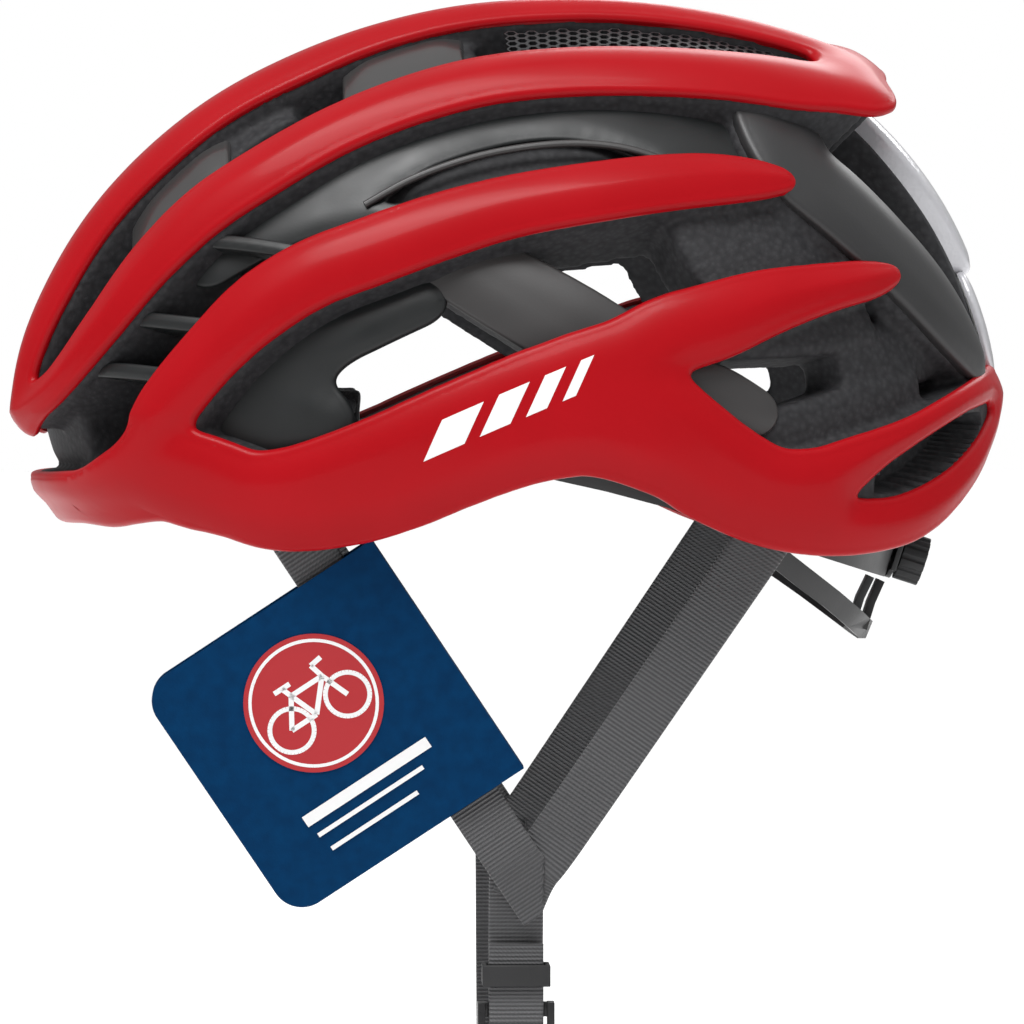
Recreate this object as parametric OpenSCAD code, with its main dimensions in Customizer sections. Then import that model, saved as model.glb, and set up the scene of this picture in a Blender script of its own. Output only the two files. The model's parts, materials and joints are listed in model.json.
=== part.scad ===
// Road cycling helmet: foam liner, two in-moulded shells, pads, webbing harness
// with a side-release buckle, and a dial-adjusted head cradle.
// Frame: -X is the front, +X the rear, +Y the rider's right, +Z up.
// The origin is the middle of the head opening, at the height of the brow rim.

/* [Shell] */
// Half length of the outer dome, dome centre to front
dome_front = 155; // [150:1:158]
// Half length of the outer dome, dome centre to rear
dome_rear = 132; // [130:1:135]
// Half width of the outer dome
dome_side = 101; // [99:1:103]
// Height of the outer dome above its centre
dome_top = 128.5; // [127:0.5:130]
// Thickness of the moulded shells
shell_t = 1.8; // [1.4:0.1:2]
// Gap between a shell and the foam under it
glue_gap = 0.3; // [0.2:0.1:0.4]

/* [Harness] */
// Width of the webbing
strap_w = 15; // [14:1:16]
// Thickness of the webbing
strap_t = 1.4; // [1:0.1:1.5]

/* [Cradle] */
// Radius of the arc that the two belts slide on
belt_r = 67; // [66.5:0.5:67.5]
// Tilt of the cradle, rear end down
cradle_tilt = 18; // [17:0.5:19]
// Radius of the adjuster dial
dial_r = 7; // [6.5:0.5:8]

/* [Hidden] */

center = [10, 0, 20];
power = 2.25;
outer_axes = [dome_front, dome_rear, dome_side, dome_top];
inner_axes = [108, 104, 79, 98];
tail_rear = 176;
brow_z = 29;
brow_tuck = 0.48;
foam_top = -shell_t - glue_gap;
strap_half = strap_w / 2;

// Centrelines on the right half of the dome, front to rear: x, y, z, half width.
// skin() moves each point onto the dome, so they only need to be near it.
rib_1 = [[-138, 34, 30, 6], [-133, 34, 46, 8], [-123, 36, 64, 9], [-110, 36, 83, 9.5], [-95, 36, 99, 10],
  [-78, 35, 113, 10], [-58, 35, 124, 10], [-35, 32, 134, 9], [-8, 28, 141, 8.5], [22, 25, 143, 8],
  [52, 23, 141, 8], [78, 21, 137, 8], [99, 20, 130, 8]];
rib_2 = [[-138, 36, 29, 6], [-128, 51, 37, 6], [-114, 60, 53, 7.5], [-99, 64, 73, 9], [-85, 65, 86, 9.7],
  [-68, 66, 97, 9.7], [-49, 65, 108, 9.5], [-30, 63, 116, 9.7], [-8, 60, 122, 10], [14, 58, 125, 10.3],
  [36, 56, 125, 10.6], [59, 53, 124, 11], [80, 48, 121, 12], [98, 40, 119, 10]];
rib_3 = [[-104, 73, 16, 9], [-96, 78, 30, 9.5], [-83, 82, 46, 9.5], [-69, 84, 59, 10.5], [-55, 86, 68, 10.5],
  [-40, 87, 73.5, 10.5], [-22, 87, 80, 10.3], [-1, 85, 85.5, 9.7], [27, 83, 91, 9.4], [54, 77, 94, 8.5],
  [68, 72, 94, 6.5], [76, 69, 94, 4]];
rib_4 = [[0, 99, 30, 11], [14, 98.5, 36, 12], [31, 98, 44, 12.5], [42, 96, 50.8, 11.5], [55, 93, 55, 11],
  [69, 88, 60, 9.5], [85, 80, 64, 7.3], [99, 70, 66.5, 5.7], [106, 63, 68, 3.5]];
rim_band = [[-142, 0, 7, 7], [-141, 20, 7, 7], [-137, 36, 7, 7], [-129, 50, 7, 8], [-117, 63, 10, 10],
  [-109, 70, 12, 12], [-100, 75, 12, 14], [-89, 81, 10, 14], [-75, 87, 6, 13.5], [-60, 92, 6, 14.7],
  [-46, 95, 9, 16], [-32, 98, 14, 16.7], [-18, 99, 20, 17], [-3, 100, 26, 17.5], [11, 99, 30, 18.5],
  [25, 99, 31, 19.5], [44, 98, 21, 15.8], [54, 96, 14, 15], [68, 92, 7, 14], [82, 87, 5, 15],
  [96, 79, 7, 17], [111, 69, 11, 17.5], [125, 55, 20, 15], [134, 38, 29, 11], [139, 20, 34, 8.5],
  [141, 0, 35, 8]];
tail_bar = [[96, -40, 120, 11], [97, -22, 128, 11], [97, 0, 131, 11], [97, 22, 128, 11], [96, 40, 120, 11]];
pillar = [[76, 50, 124, 13], [80, 60, 112, 14], [84, 64, 101, 14], [92, 61, 88, 14], [105, 56, 73, 13.5],
  [118, 46, 57, 12.5], [131, 35, 45, 9]];
strut = [[-24, 90, 80, 11], [-6, 96, 70, 11.5], [12, 98, 59, 12], [26, 99, 50, 12]];
rear_strut = [[58, 78, 94, 17], [70, 82, 78, 20], [84, 82, 62, 18]];
vent_tray = [[58, 94, 23, 6], [72, 90, 23, 8], [88, 83, 26, 9], [104, 73, 31, 9], [120, 58, 36, 8]];
corner_web = [[44, 97, 40, 7], [56, 95, 36, 8], [68, 92, 30, 7]];
rear_fill = [[96, 77, 45, 10], [105, 68, 46, 11], [116, 56, 47, 10], [126, 44, 48, 8]];
top_fill = [[56, 92, 51, 6], [74, 87, 53, 7], [92, 78, 54, 7], [106, 68, 57, 6]];
front_pocket = [[-92, 78, 26, 9], [-78, 84, 28, 12], [-64, 88, 28, 11], [-56, 90, 27, 9]];
slats = [[[-120, 56, 42, 2.2], [-106, 68, 41, 2.2], [-90, 79, 39, 2.2]],
  [[-107, 62, 56, 2.2], [-94, 71, 54.5, 2.2], [-80, 80, 53, 2.2]],
  [[-86, 65, 77, 2.2], [-70, 75, 75.5, 2.2], [-54, 84, 73, 2.2]]];
channel = [[-38, 74, 96, 12], [-10, 73, 104, 11], [20, 71, 110, 11], [50, 67, 111, 12], [76, 58, 110, 14]];
spine = [[84, 0, 128, 12], [102, 0, 112, 14], [118, 0, 92, 15], [130, 0, 68, 16], [138, 0, 46, 15]];
sill = [[-134, -50, 22, 8], [-139, -28, 22, 8], [-141, 0, 22, 8], [-139, 28, 22, 8], [-134, 50, 22, 8]];

// Temple pivot, and the middle of the head cradle's arc
temple = [-15, 0, 20];
pin_r = 2.5;
cradle_pos = [44, 0, 10.5];
channel_half = 7.3;
channel_end = 50;
strip_r = 125.5;

// Harness, right side: where each leg of webbing leaves the foam, and where it is lapped
front_exit = [-60, 80, -2];
rear_exit = [69.5, 78, -2];
front_lap = [-4.5, 71.2, -86];
rear_lap = [12, 69, -86.5];

// Buckle: its axis runs straight down at the rider's left jaw
jaw_x = 1;
buckle_y = -62.2;
buckle_top = -129;

// Belt racks and pinion
teeth = 8;
pitch_r = 3.2;
tooth_step = 2 * PI * pitch_r / teeth;
step_angle = tooth_step / belt_r * 180 / PI;
tooth_up = 0.55;
tooth_down = 0.8;

function mix(a, b, t) = a * (1 - t) + b * t;
function unit(v) = v / norm(v);
function limit(v, low, high) = min(max(v, low), high);
function axes_at(t, off, rear) = [for (i = [0:3])
    mix(i == 1 && rear > 0 ? rear : outer_axes[i], inner_axes[i], t) + off];
function gauge(v, s) =
  let (x = abs(v.x) / (v.x < 0 ? s[0] : s[1]), y = abs(v.y) / s[2], z = abs(v.z) / s[3])
  sqrt(pow(pow(x, power) + pow(y, power), 2 / power) + z * z);
// The brow leans back below the rib tips
function tuck(p, t) = p + [brow_tuck * max(0, brow_z - p.z) * limit((-p.x - 60) / 80, 0, 1) * (1 - t), 0, 0];
// The point of the dome along the ray through p, at share t of the wall's thickness plus an offset
function skin(p, t, off, rear = 0) = let (v = p - center) tuck(center + v / gauge(v, axes_at(t, off, rear)), t);
function outward(p) = let (v = p - center)
  unit([v.x / pow(v.x < 0 ? dome_front : dome_rear, 2), v.y / pow(dome_side, 2), v.z / pow(dome_top, 2)]);

// Catmull-Rom through a list of points of any size, with steps points to each span
function spline_at(a, b, c, d, t) =
  0.5 * (2 * b + (c - a) * t + (2 * a - 5 * b + 4 * c - d) * t * t + (3 * b - a - 3 * c + d) * t * t * t);
function spline(pts, steps, closed = false) = let (n = len(pts), spans = closed ? n : n - 1)
  concat([for (i = [0:spans - 1], k = [0:steps - 1])
    spline_at(
      pts[closed ? (i + n - 1) % n : max(i - 1, 0)], pts[i], pts[(i + 1) % n],
      pts[closed ? (i + 2) % n : min(i + 2, n - 1)], k / steps)],
    closed ? [] : [pts[n - 1]]);
function flip(pts) = [for (p = pts) [p.x, -p.y, p.z, p[3]]];
function place(p) = [p.x, p.y, p.z];

// A closed skin round a row of rings with the same number of points
module rings(r, closed = false) {
  n = len(r);
  m = len(r[0]);
  last = closed ? n - 1 : n - 2;
  sides = [for (i = [0:last], j = [0:m - 1]) let (a = i * m + j, b = i * m + (j + 1) % m,
      c = ((i + 1) % n) * m + (j + 1) % m, d = ((i + 1) % n) * m + j) each [[a, b, c], [a, c, d]]];
  caps = closed ? [] : [[for (j = [m - 1:-1:0]) j], [for (j = [0:m - 1]) (n - 1) * m + j]];
  polyhedron(points = [for (q = r) each q], faces = concat(sides, caps));
}

// A band of the dome's wall along a centreline, from wall share t0 to t1, crowned by round
module band(line, t0, off0, t1, off1, steps = 2, closed = false, rear = 0, shrink = 0, round = 1) {
  pts = spline(line, steps, closed);
  n = len(pts);
  on = [for (p = pts) skin(place(p), 0, 0, rear)];
  r = [for (i = [0:n - 1])
    let (
      before = on[closed ? (i + n - 1) % n : max(i - 1, 0)],
      after = on[closed ? (i + 1) % n : min(i + 1, n - 1)],
      side = unit(cross(outward(on[i]), unit(after - before))) * (pts[i][3] - shrink)
    )
    concat(
      [for (u = [[-1, round], [-0.8, round / 4], [0, 0], [0.8, round / 4], [1, round]])
        skin(on[i] + side * u[0], t0, off0 - u[1], rear)],
      [for (u = [1, 0, -1]) skin(on[i] + side * u, t1, off1, rear)])];
  rings(r, closed);
}

// Both sides of a helmet feature
module pair() {
  children();
  mirror([0, 1, 0]) children();
}

// Joins overlapping meshes into one
module fused() {
  resize([0, 0, 0]) union() children();
}

rim_loop = concat(rim_band, [for (i = [len(rim_band) - 2:-1:1]) flip(rim_band)[i]]);

module shell_band(line, steps = 2, closed = false, rear = 0) {
  band(line, 0, 0, 0, -shell_t, steps, closed, rear);
}

// A rib of the foam under a shell. Each meets its neighbours at a slightly different depth
module foam_band(line, dip = 0, closed = false, rear = 0) {
  band(line, 0, foam_top - dip, 1, dip, 1, closed, rear, 0.8);
}

// A bridge between ribs, set back from the dome's skin by share t0 of the wall
module web(line, t0, dip) {
  band(line, t0, 0, 1, dip, 2);
}

module crown_shell() {
  color([0.78, 0.05, 0.1]) fused() {
    pair() {
      shell_band(rib_1, 2, false, tail_rear);
      shell_band(rib_2, 2, false, tail_rear);
    }
    shell_band(tail_bar, 2, false, tail_rear);
  }
}

module lower_shell() {
  color([0.78, 0.05, 0.1]) fused() difference() {
    union() {
      shell_band(rim_loop, 2, true);
      pair() {
        shell_band(rib_3, 2);
        shell_band(rib_4, 2);
      }
    }
    pair() rear_eye(10);
  }
}

// The eye-shaped rear outlet low in the band
module rear_eye(reach) {
  hull() for (p = [[95, 80, 7.3, 1], [104, 74, 11, 4.8], [117, 63, 17.5, 6.2], [129, 49, 24.5, 5], [138, 33, 30.5, 1.6]])
    for (t = [-0.15, 0.02 * reach]) translate(skin([p.x, p.y, p.z], t, 0)) sphere(r = p[3], $fn = 16);
}

function crossbar(x, half) = [for (y = [-60:20:60])
    let (q = skin([x, y, 20 + sqrt(1 - pow(x / 190, 2)) * 120], 0, 0)) [q.x, q.y, q.z, half]];

module liner() {
  color([0.16, 0.16, 0.17]) fused() difference() {
    union() {
      foam_band(rim_loop, 0, true);
      pair() {
        foam_band(rib_1, 0.3, false, tail_rear);
        foam_band(rib_2, 0.6, false, tail_rear);
        foam_band(rib_3, 0.3);
        foam_band(rib_4, 0.6);
        band(pillar, 0, foam_top - 1, 1, 0.9, 1, false, 0, 1);
        web(strut, 0.45, 0.9);
        web(rear_strut, 0.25, 1.2);
        web(corner_web, 0.25, 1.5);
        web(channel, 0.45, 1.8);
        web(rear_fill, 0.35, 2);
        web(front_pocket, 0.4, 1.8);
        web(vent_tray, 0.36, 2.4);
        web(top_fill, 0.36, 2.7);
        for (slat = slats) web(slat, 0.2, 2.6);
      }
      foam_band(tail_bar, 0.9, false, tail_rear);
      web(spine, 0.14, 1.2);
      web(sill, 0.3, 1.5);
      for (bar = [[-92, 15, 0.26], [-30, 18, 0.26], [38, 12, 0.43]]) web(crossbar(bar.x, bar.y), bar.z, 2.2);
    }
    pair() {
      rear_eye(18);
      aim(front_exit, front_lap) translate([-9.5, -2.5, -11.5]) cube([19, 5, 40]);
      aim(rear_exit, rear_lap) translate([-9.5, -2.5, -11.5]) cube([19, 5, 40]);
      translate([temple.x, 74, temple.z]) rotate([-90, 0, 0]) cylinder(r = 5.3, h = 14, $fn = 32);
    }
    translate([100, -9, 22]) cube([18, 18, 42]);
  }
}

// A thin nylon cage moulded inside the foam ribs, which holds them together in a crash
module roll_cage() {
  inside = [for (p = rib_2) if (p.x > -120 && p.x < 90) [p.x, p.y, p.z, 2.5]];
  hoops = [for (x = [-36, 34]) [for (a = [54:12:126]) [x, cos(a) * 98, 20 + sin(a) * 112, 3]]];
  color("black") fused() {
    pair() band(inside, 0.5, 0, 0.5, -1.5, 1, false, 0, 0, 0.2);
    for (hoop = hoops) band(hoop, 0.5, 0, 0.5, -1.5, 1, false, 0, 0, 0.2);
  }
}

// Keeps a trim plate clear of the ribs beside it
module between_ribs() {
  difference() {
    children();
    for (line = [rib_1, rib_2]) band(line, 0, 3, 1, -3, 1, false, tail_rear, -0.5);
    for (line = [rib_3, rib_4]) band(line, 0, 3, 1, -3, 1, false, 0, -0.5);
    band(rim_band, 0, 3, 1, -3, 1, false, 0, -0.5);
  }
}

module rear_panel_right() {
  color([0.2, 0.2, 0.21]) fused() between_ribs()
    band([for (i = [1:6]) pillar[i]], 0, -0.8, 0, foam_top - 0.7, 2, false, 0, 0.5, 0.6);
}
module rear_panel_left() {
  mirror([0, 1, 0]) rear_panel_right();
}

// Satin strut plates that cross the long side vent
module side_bridge_right() {
  color([0.3, 0.29, 0.29]) fused() between_ribs() band(strut, 0.45, 1.9, 0.45, glue_gap, 2, false, 0, 0.4, 0.5);
}
module side_bridge_left() {
  mirror([0, 1, 0]) side_bridge_right();
}

// Satin plate in the front corner of the rear side vent
module vent_plate_right() {
  color([0.3, 0.28, 0.27]) fused() between_ribs() band(corner_web, 0.25, 1.8, 0.25, glue_gap, 3, false, 0, 0, 0.5);
}
module vent_plate_left() {
  mirror([0, 1, 0]) vent_plate_right();
}

module crown_plate(x, half) {
  color([0.15, 0.15, 0.16]) fused() between_ribs() mirror([0, 1, 0]) between_ribs()
    band(crossbar(x, half), 0.2, 2, 0.2, glue_gap, 1, false, 0, 0, 0.4);
}
module crown_bridge_front() {
  crown_plate(-92, 14);
}
module crown_bridge_middle() {
  crown_plate(-30, 17);
}

// Perforated insect mesh between the crown ribs
module mesh_band(line) {
  color("black") fused() difference() {
    mirror([0, 1, 0]) between_ribs() mirror([0, 1, 0]) between_ribs()
      band(line, 0.2, 0, 0.2, -1, 1, false, tail_rear, 0, 0.1);
    for (i = [0:12], j = [-5:5]) let (x = line[0].x + 5 + i * 7, y = line[0].y + (j + (i % 2) / 2) * 7)
      if (abs(y - line[0].y) < line[0][3] + 3 && x < line[len(line) - 1].x - 3)
        translate([x, y, 100]) cylinder(r = 2.6, h = 60, $fn = 6);
  }
}
module mesh_center() {
  mesh_band([for (x = [0:17:85]) [x, 0, 145, 14]]);
}
module mesh_right() {
  mesh_band([[6, 42, 128, 7], [30, 41, 130, 7], [55, 39, 130, 7], [80, 36, 126, 7]]);
}
module mesh_left() {
  mirror([0, 1, 0]) mesh_right();
}

// Reflectors down the middle of the tail
module rear_reflector() {
  color([0.8, 0.8, 0.82]) band([[101, 0, 113, 9], [110, 0, 102, 11], [119, 0, 90, 11], [127, 0, 74, 8]],
    0.14, 3, 0.14, glue_gap, 2, false, 0, 0, 0.4);
}
module tail_reflector() {
  color([0.8, 0.8, 0.82]) band([[133, 0, 60, 12], [136, 0, 53, 13], [138, 0, 47, 12]],
    0.14, 2.6, 0.14, glue_gap, 1, false, 0, 0, 0.4);
}

// Soft pads on the inside of the liner
module pad(line, steps = 1) {
  color([0.1, 0.1, 0.11]) band(line, 1, -0.4, 1, -6, steps, false, 0, 0, 0.6);
}
module brow_pad() {
  pad([for (a = [-63:9:63]) [10 - 145 * cos(a), 100 * sin(a), 30, 13]]);
}
module crown_pad_center() {
  pad([for (a = [-66:12:42]) [10 + 140 * sin(a), 0, 20 + 120 * cos(a), 12]]);
}
module crown_pad_right() {
  pad([for (a = [-60:12:48]) [10 + 130 * sin(a), 55, 20 + 100 * cos(a), 11]]);
}
module crown_pad_left() {
  mirror([0, 1, 0]) crown_pad_right();
}

// A ribbon of rectangular section along a path, either across a fixed vector or facing a fixed normal
module ribbon(path, half, thick, across = undef, normal = [0, 1, 0]) {
  n = len(path);
  rings([for (i = [0:n - 1])
    let (
      along = unit(place(path[min(i + 1, n - 1)]) - place(path[max(i - 1, 0)])),
      u = is_undef(across) ? unit(cross(along, normal)) : across,
      v = unit(cross(u, along)) * thick / 2,
      h = is_undef(path[i][3]) ? half : path[i][3],
      p = place(path[i])
    )
    [p - u * h - v, p + u * h - v, p + u * h + v, p - u * h + v]]);
}

// Turns +z to point from a to b, with x kept level in y
module aim(a, b) {
  w = unit(b - a);
  translate(a) rotate([asin(-w.y), atan2(w.x, w.z), 0]) children();
}

function strap_top(a, b, reach) = a + unit(a - b) * reach;

module front_strap_right() {
  color([0.1, 0.1, 0.1]) ribbon([strap_top(front_exit, front_lap, 7.5), front_exit,
    mix(front_exit, front_lap, 0.5), front_lap, [3.5, 70, -97]], strap_half, strap_t);
}
module front_strap_left() {
  mirror([0, 1, 0]) front_strap_right();
}
module rear_strap_right() {
  color([0.1, 0.1, 0.1]) ribbon([strap_top(rear_exit, rear_lap, 7.5), rear_exit,
    mix(rear_exit, rear_lap, 0.5), rear_lap, [5, 67.8, -96], [1.4, 66.4, -104]], strap_half, strap_t);
}
module rear_strap_left() {
  mirror([0, 1, 0]) rear_strap_right();
}

// Moulded hooks that hold the webbing inside the foam
module front_anchor_right() {
  color("black") aim(front_exit, front_lap) difference() {
    translate([-8.8, -2.1, -10.9]) cube([17.6, 4.2, 2.8]);
    for (x = [-5, 5]) translate([x, 0, -12]) cylinder(r = 1, h = 6, $fn = 24);
  }
}
module front_anchor_left() {
  mirror([0, 1, 0]) front_anchor_right();
}
module rear_anchor_right() {
  color("black") aim(rear_exit, rear_lap) difference() {
    translate([-8.8, -2.1, -10.9]) cube([17.6, 4.2, 2.8]);
    for (x = [-5, 5]) translate([x, 0, -12]) cylinder(r = 1, h = 6, $fn = 24);
  }
}
module rear_anchor_left() {
  mirror([0, 1, 0]) rear_anchor_right();
}

// The strap below the lap goes round the bar of the ladder lock and back up as a tail
module jaw_strap_left() {
  path = [[-65.3, -97], [-63.1, -104], [-61.5, -110], [-60.6, -117], [-60.2, -126], [-60.2, -135.6],
    [-60.9, -138.2], [-62.2, -139], [-63.5, -138.2], [-64.2, -135.6], [-64.2, -126], [-64, -120], [-64.1, -116]];
  color([0.1, 0.1, 0.1]) ribbon([for (p = path) [jaw_x, p.x, p.y]], strap_half, strap_t, [1, 0, 0]);
}

module strap_keeper() {
  color("black") translate([jaw_x, buckle_y, -124.5]) difference() {
    translate([-9.3, -4.8, -3]) cube([18.6, 9.6, 6]);
    translate([-8.1, -3.6, -4]) cube([16.2, 7.2, 8]);
  }
}

// Male half of the buckle: ladder lock above, two spring prongs and a guide below
module buckle_male() {
  color("black") translate([jaw_x, buckle_y, buckle_top]) union() {
    translate([-10.5, -1.05, -7]) cube([21, 2.1, 4]);
    for (x = [-10.5, 8.5]) translate([x, -2.6, -17.6]) cube([2, 5.2, 14.6]);
    translate([-10.5, -2.6, -17.6]) cube([21, 5.2, 5]);
    for (x = [-7.4, 5.4]) translate([x, -1.5, -32]) cube([2, 3, 15]);
    for (x = [-7.9, 4.5]) translate([x, -1.5, -33]) cube([3.4, 3, 4]);
    translate([-1.2, -1.2, -31]) cube([2.4, 2.4, 14]);
  }
}

// Socket of the buckle, with side windows and a bar for the chin strap
module buckle_female() {
  color("black") translate([jaw_x, buckle_y, buckle_top]) difference() {
    translate([-11, -3.8, -41.4]) cube([22, 7.6, 23.4]);
    translate([-8.3, -2, -34.2]) cube([16.6, 4, 18]);
    for (x = [-12, 8]) translate([x, -2, -31]) cube([4, 4, 9]);
    translate([-8.3, -5, -39.4]) cube([16.6, 10, 3.4]);
  }
}

module chin_strap() {
  path = [[-64.6, -166.7], [-57.4, -166.8], [-54, -171.6], [-47, -181.4], [-34, -188.6], [-12, -192.4],
    [14, -190.4], [36, -179], [51, -157], [59, -130], [62, -110], [63.4, -103]];
  color([0.1, 0.1, 0.1]) ribbon(spline([for (q = path) [jaw_x, q.x, q.y]], 2), strap_half, strap_t, [1, 0, 0]);
}

module chin_pad() {
  path = [[-34, -187.4], [-24, -189.6], [-12, -191], [0, -190.6], [14, -189], [24, -184.4], [34, -178.6]];
  color([0.12, 0.12, 0.12]) ribbon([for (p = path) [jaw_x, p.x, p.y + 1.6]], 9, 1.8, [1, 0, 0]);
}

module in_cradle() {
  translate(cradle_pos) rotate([0, cradle_tilt, 0]) children();
}
module arc(r1, r2, z1, z2, a1, a2) {
  rotate([0, 0, a1]) rotate_extrude(angle = a2 - a1, $fn = 96) translate([r1, z1]) square([r2 - r1, z2 - z1]);
}
// A rod along the dial's axis
module rod(r, x1, x2, fn = 48) {
  translate([x1, 0, 0]) rotate([0, 90, 0]) cylinder(r = r, h = x2 - x1, $fn = fn);
}

// The channel that carries the belts round the back of the head
module cradle() {
  color([0.1, 0.1, 0.1]) in_cradle() difference() {
    arc(belt_r - 2.4, belt_r + 2.4, -channel_half, channel_half, -channel_end, channel_end);
    arc(belt_r - 1.3, belt_r + 1.3, 1.1 - channel_half, channel_half - 1.1, -channel_end - 2, channel_end + 2);
    rod(1.78, belt_r - 4, belt_r);
    rod(2.08, belt_r, belt_r + 4);
  }
}

// Arm from the channel to an eye round the temple pin
module headband_right() {
  start = [for (a = [channel_end + 0.3, channel_end + 5])
    let (x = belt_r * cos(a), y = belt_r * sin(a))
    cradle_pos + [x * cos(cradle_tilt), y, -x * sin(cradle_tilt)]];
  path = [each start, [68, 62.2, 1.5], [50, 68.6, 7], [26, 73, 13], [4, 74.8, 17.5], [-10, 75, 19.4]];
  color([0.1, 0.1, 0.1]) difference() {
    union() {
      ribbon([for (i = [0:len(path) - 1]) [path[i].x, path[i].y, path[i].z, 6.8 - i * 0.4]], 6, 1.8);
      translate([temple.x, 74.1, temple.z]) rotate([-90, 0, 0]) cylinder(r = 6, h = 1.8, $fn = 64);
    }
    translate([temple.x, 70, temple.z]) rotate([-90, 0, 0]) cylinder(r = pin_r + 0.1, h = 10, $fn = 64);
  }
}
module headband_left() {
  mirror([0, 1, 0]) headband_right();
}

// Snap pin on which an arm swings, pressed into the foam
module temple_pin_right() {
  color("black") translate([temple.x, 72, temple.z]) rotate([-90, 0, 0]) {
    cylinder(r = 4.6, h = 1.7, $fn = 48);
    cylinder(r = pin_r, h = 6, $fn = 64);
    translate([0, 0, 5.4]) cylinder(r = 5, h = 9, $fn = 48);
  }
}
module temple_pin_left() {
  mirror([0, 1, 0]) temple_pin_right();
}

// Loop under the channel that holds the nape
module nape_support() {
  half = [[71.5, 59, -9.4, 3], [80, 51.5, -16, 3], [89, 42, -22.5, 3], [96, 30, -28, 3], [100.4, 16, -31.6, 3]];
  path = concat(half, [[101.6, 0, -32.6, 3]], [for (i = [4:-1:0]) flip(half)[i]]);
  color([0.1, 0.1, 0.1]) fused() {
    ribbon(path, 3, 2.4, undef, [0.001, 1, 0]);
    for (y = [-15, 15]) ribbon([[100.2, y * 1.1, -32], [102.6, y * 1.07, -24.4], [105.4, y, -18.4]],
      3, 2.2, [0, 1, 0]);
  }
}

module nape_pads() {
  color([0.12, 0.12, 0.12]) in_cradle() for (a = [-34, 12])
    arc(belt_r - 4.8, belt_r - 2.6, -5.4, 5.4, a, a + 22);
}

// Track on the liner in which the height strip slides
module about_temple(r1, r2, half, a1, a2) {
  translate([temple.x, half, temple.z]) rotate([90, 0, 0])
    arc(r1, r2, 0, 2 * half, a1, a2);
}
module height_track() {
  color("black") difference() {
    about_temple(strip_r - 2.4, strip_r + 2.8, 7.2, 3, 18);
    about_temple(strip_r - 1, strip_r + 1.1, 5.2, 0, 21);
    about_temple(strip_r - 4, strip_r, 3.6, 0, 21);
  }
}
module height_strip() {
  color([0.1, 0.1, 0.1]) difference() {
    about_temple(strip_r - 0.7, strip_r + 0.7, 4.9, -9.8, 11);
    for (a = [-6:3:9]) translate(temple) rotate([0, -a, 0]) rod(1.2, strip_r - 3, strip_r + 3, 24);
  }
}

module dial_housing() {
  color([0.1, 0.1, 0.1]) in_cradle() difference() {
    union() {
      rod(7.3, belt_r + 2.7, belt_r + 4.2, 64);
      translate([belt_r + 2.7, -11, -5]) cube([1.5, 22, 10]);
    }
    rod(2.3, belt_r + 2, belt_r + 6);
  }
}

// Click spring between the housing and the dial
module detent_spring() {
  color("silver") in_cradle() difference() {
    union() {
      rod(4.2, belt_r + 4.35, belt_r + 4.7);
      for (a = [45:90:315]) rotate([a, 0, 0]) translate([belt_r + 4.35, -0.8, 0]) cube([0.35, 1.6, 6]);
    }
    rod(2.5, belt_r + 4, belt_r + 6);
  }
}

module dial_knob() {
  color([0.1, 0.1, 0.1]) in_cradle() difference() {
    rod(dial_r, belt_r + 5, belt_r + 12, 64);
    for (a = [0:30:330]) rotate([a, 0, 0]) translate([0, 0, dial_r + 0.5]) rod(1, belt_r + 4, belt_r + 13, 16);
    rod(2.05, belt_r + 4, belt_r + 9.5);
    rod(1.1, belt_r + 9, belt_r + 13);
    rod(2.1, belt_r + 11, belt_r + 13);
  }
}

function gear_point(r, half, a) = [r * cos(a) - half * sin(a), r * sin(a) + half * cos(a)];
module pinion() {
  outline = [for (k = [0:teeth - 1]) let (a = k * 360 / teeth) each [
    gear_point(pitch_r - tooth_down, -0.8, a), gear_point(pitch_r, -0.45, a),
    gear_point(pitch_r + tooth_up, -0.22, a), gear_point(pitch_r + tooth_up, 0.22, a),
    gear_point(pitch_r, 0.45, a), gear_point(pitch_r - tooth_down, 0.8, a)]];
  color("gray") in_cradle() difference() {
    union() {
      translate([belt_r - 1, 0, 0]) rotate([90, 0, 90]) linear_extrude(2) polygon(outline);
      rod(1.7, belt_r - 2.5, belt_r);
      rod(2, belt_r, belt_r + 9.3);
    }
    rod(1, belt_r + 5, belt_r + 11);
  }
}

module dial_screw() {
  color("silver") in_cradle() {
    rod(0.9, belt_r + 5.5, belt_r + 11.4, 32);
    rod(1.9, belt_r + 11.1, belt_r + 12, 32);
  }
}

// Toothed belt: its rack is above the pinion, and it runs out towards +Y
module belt(end) {
  in_cradle() {
    arc(belt_r - 1, belt_r + 1, pitch_r + tooth_down, 5.9, -12, end);
    for (k = [-5:4]) rotate([0, 0, (k + 0.5) * step_angle]) translate([belt_r - 1, 0, 0])
      rotate([90, 0, 90]) linear_extrude(2) polygon([
        [-0.7, pitch_r + tooth_down + 0.05], [-0.45, pitch_r], [-0.22, pitch_r - tooth_up],
        [0.22, pitch_r - tooth_up], [0.45, pitch_r], [0.7, pitch_r + tooth_down + 0.05]]);
  }
}
module belt_right() {
  color([0.25, 0.25, 0.25]) belt(42);
}
module belt_left() {
  color([0.25, 0.25, 0.25]) translate(cradle_pos) rotate([0, cradle_tilt, 0]) rotate([180, 0, 0])
    rotate([0, -cradle_tilt, 0]) translate(-cradle_pos) belt(42);
}

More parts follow.
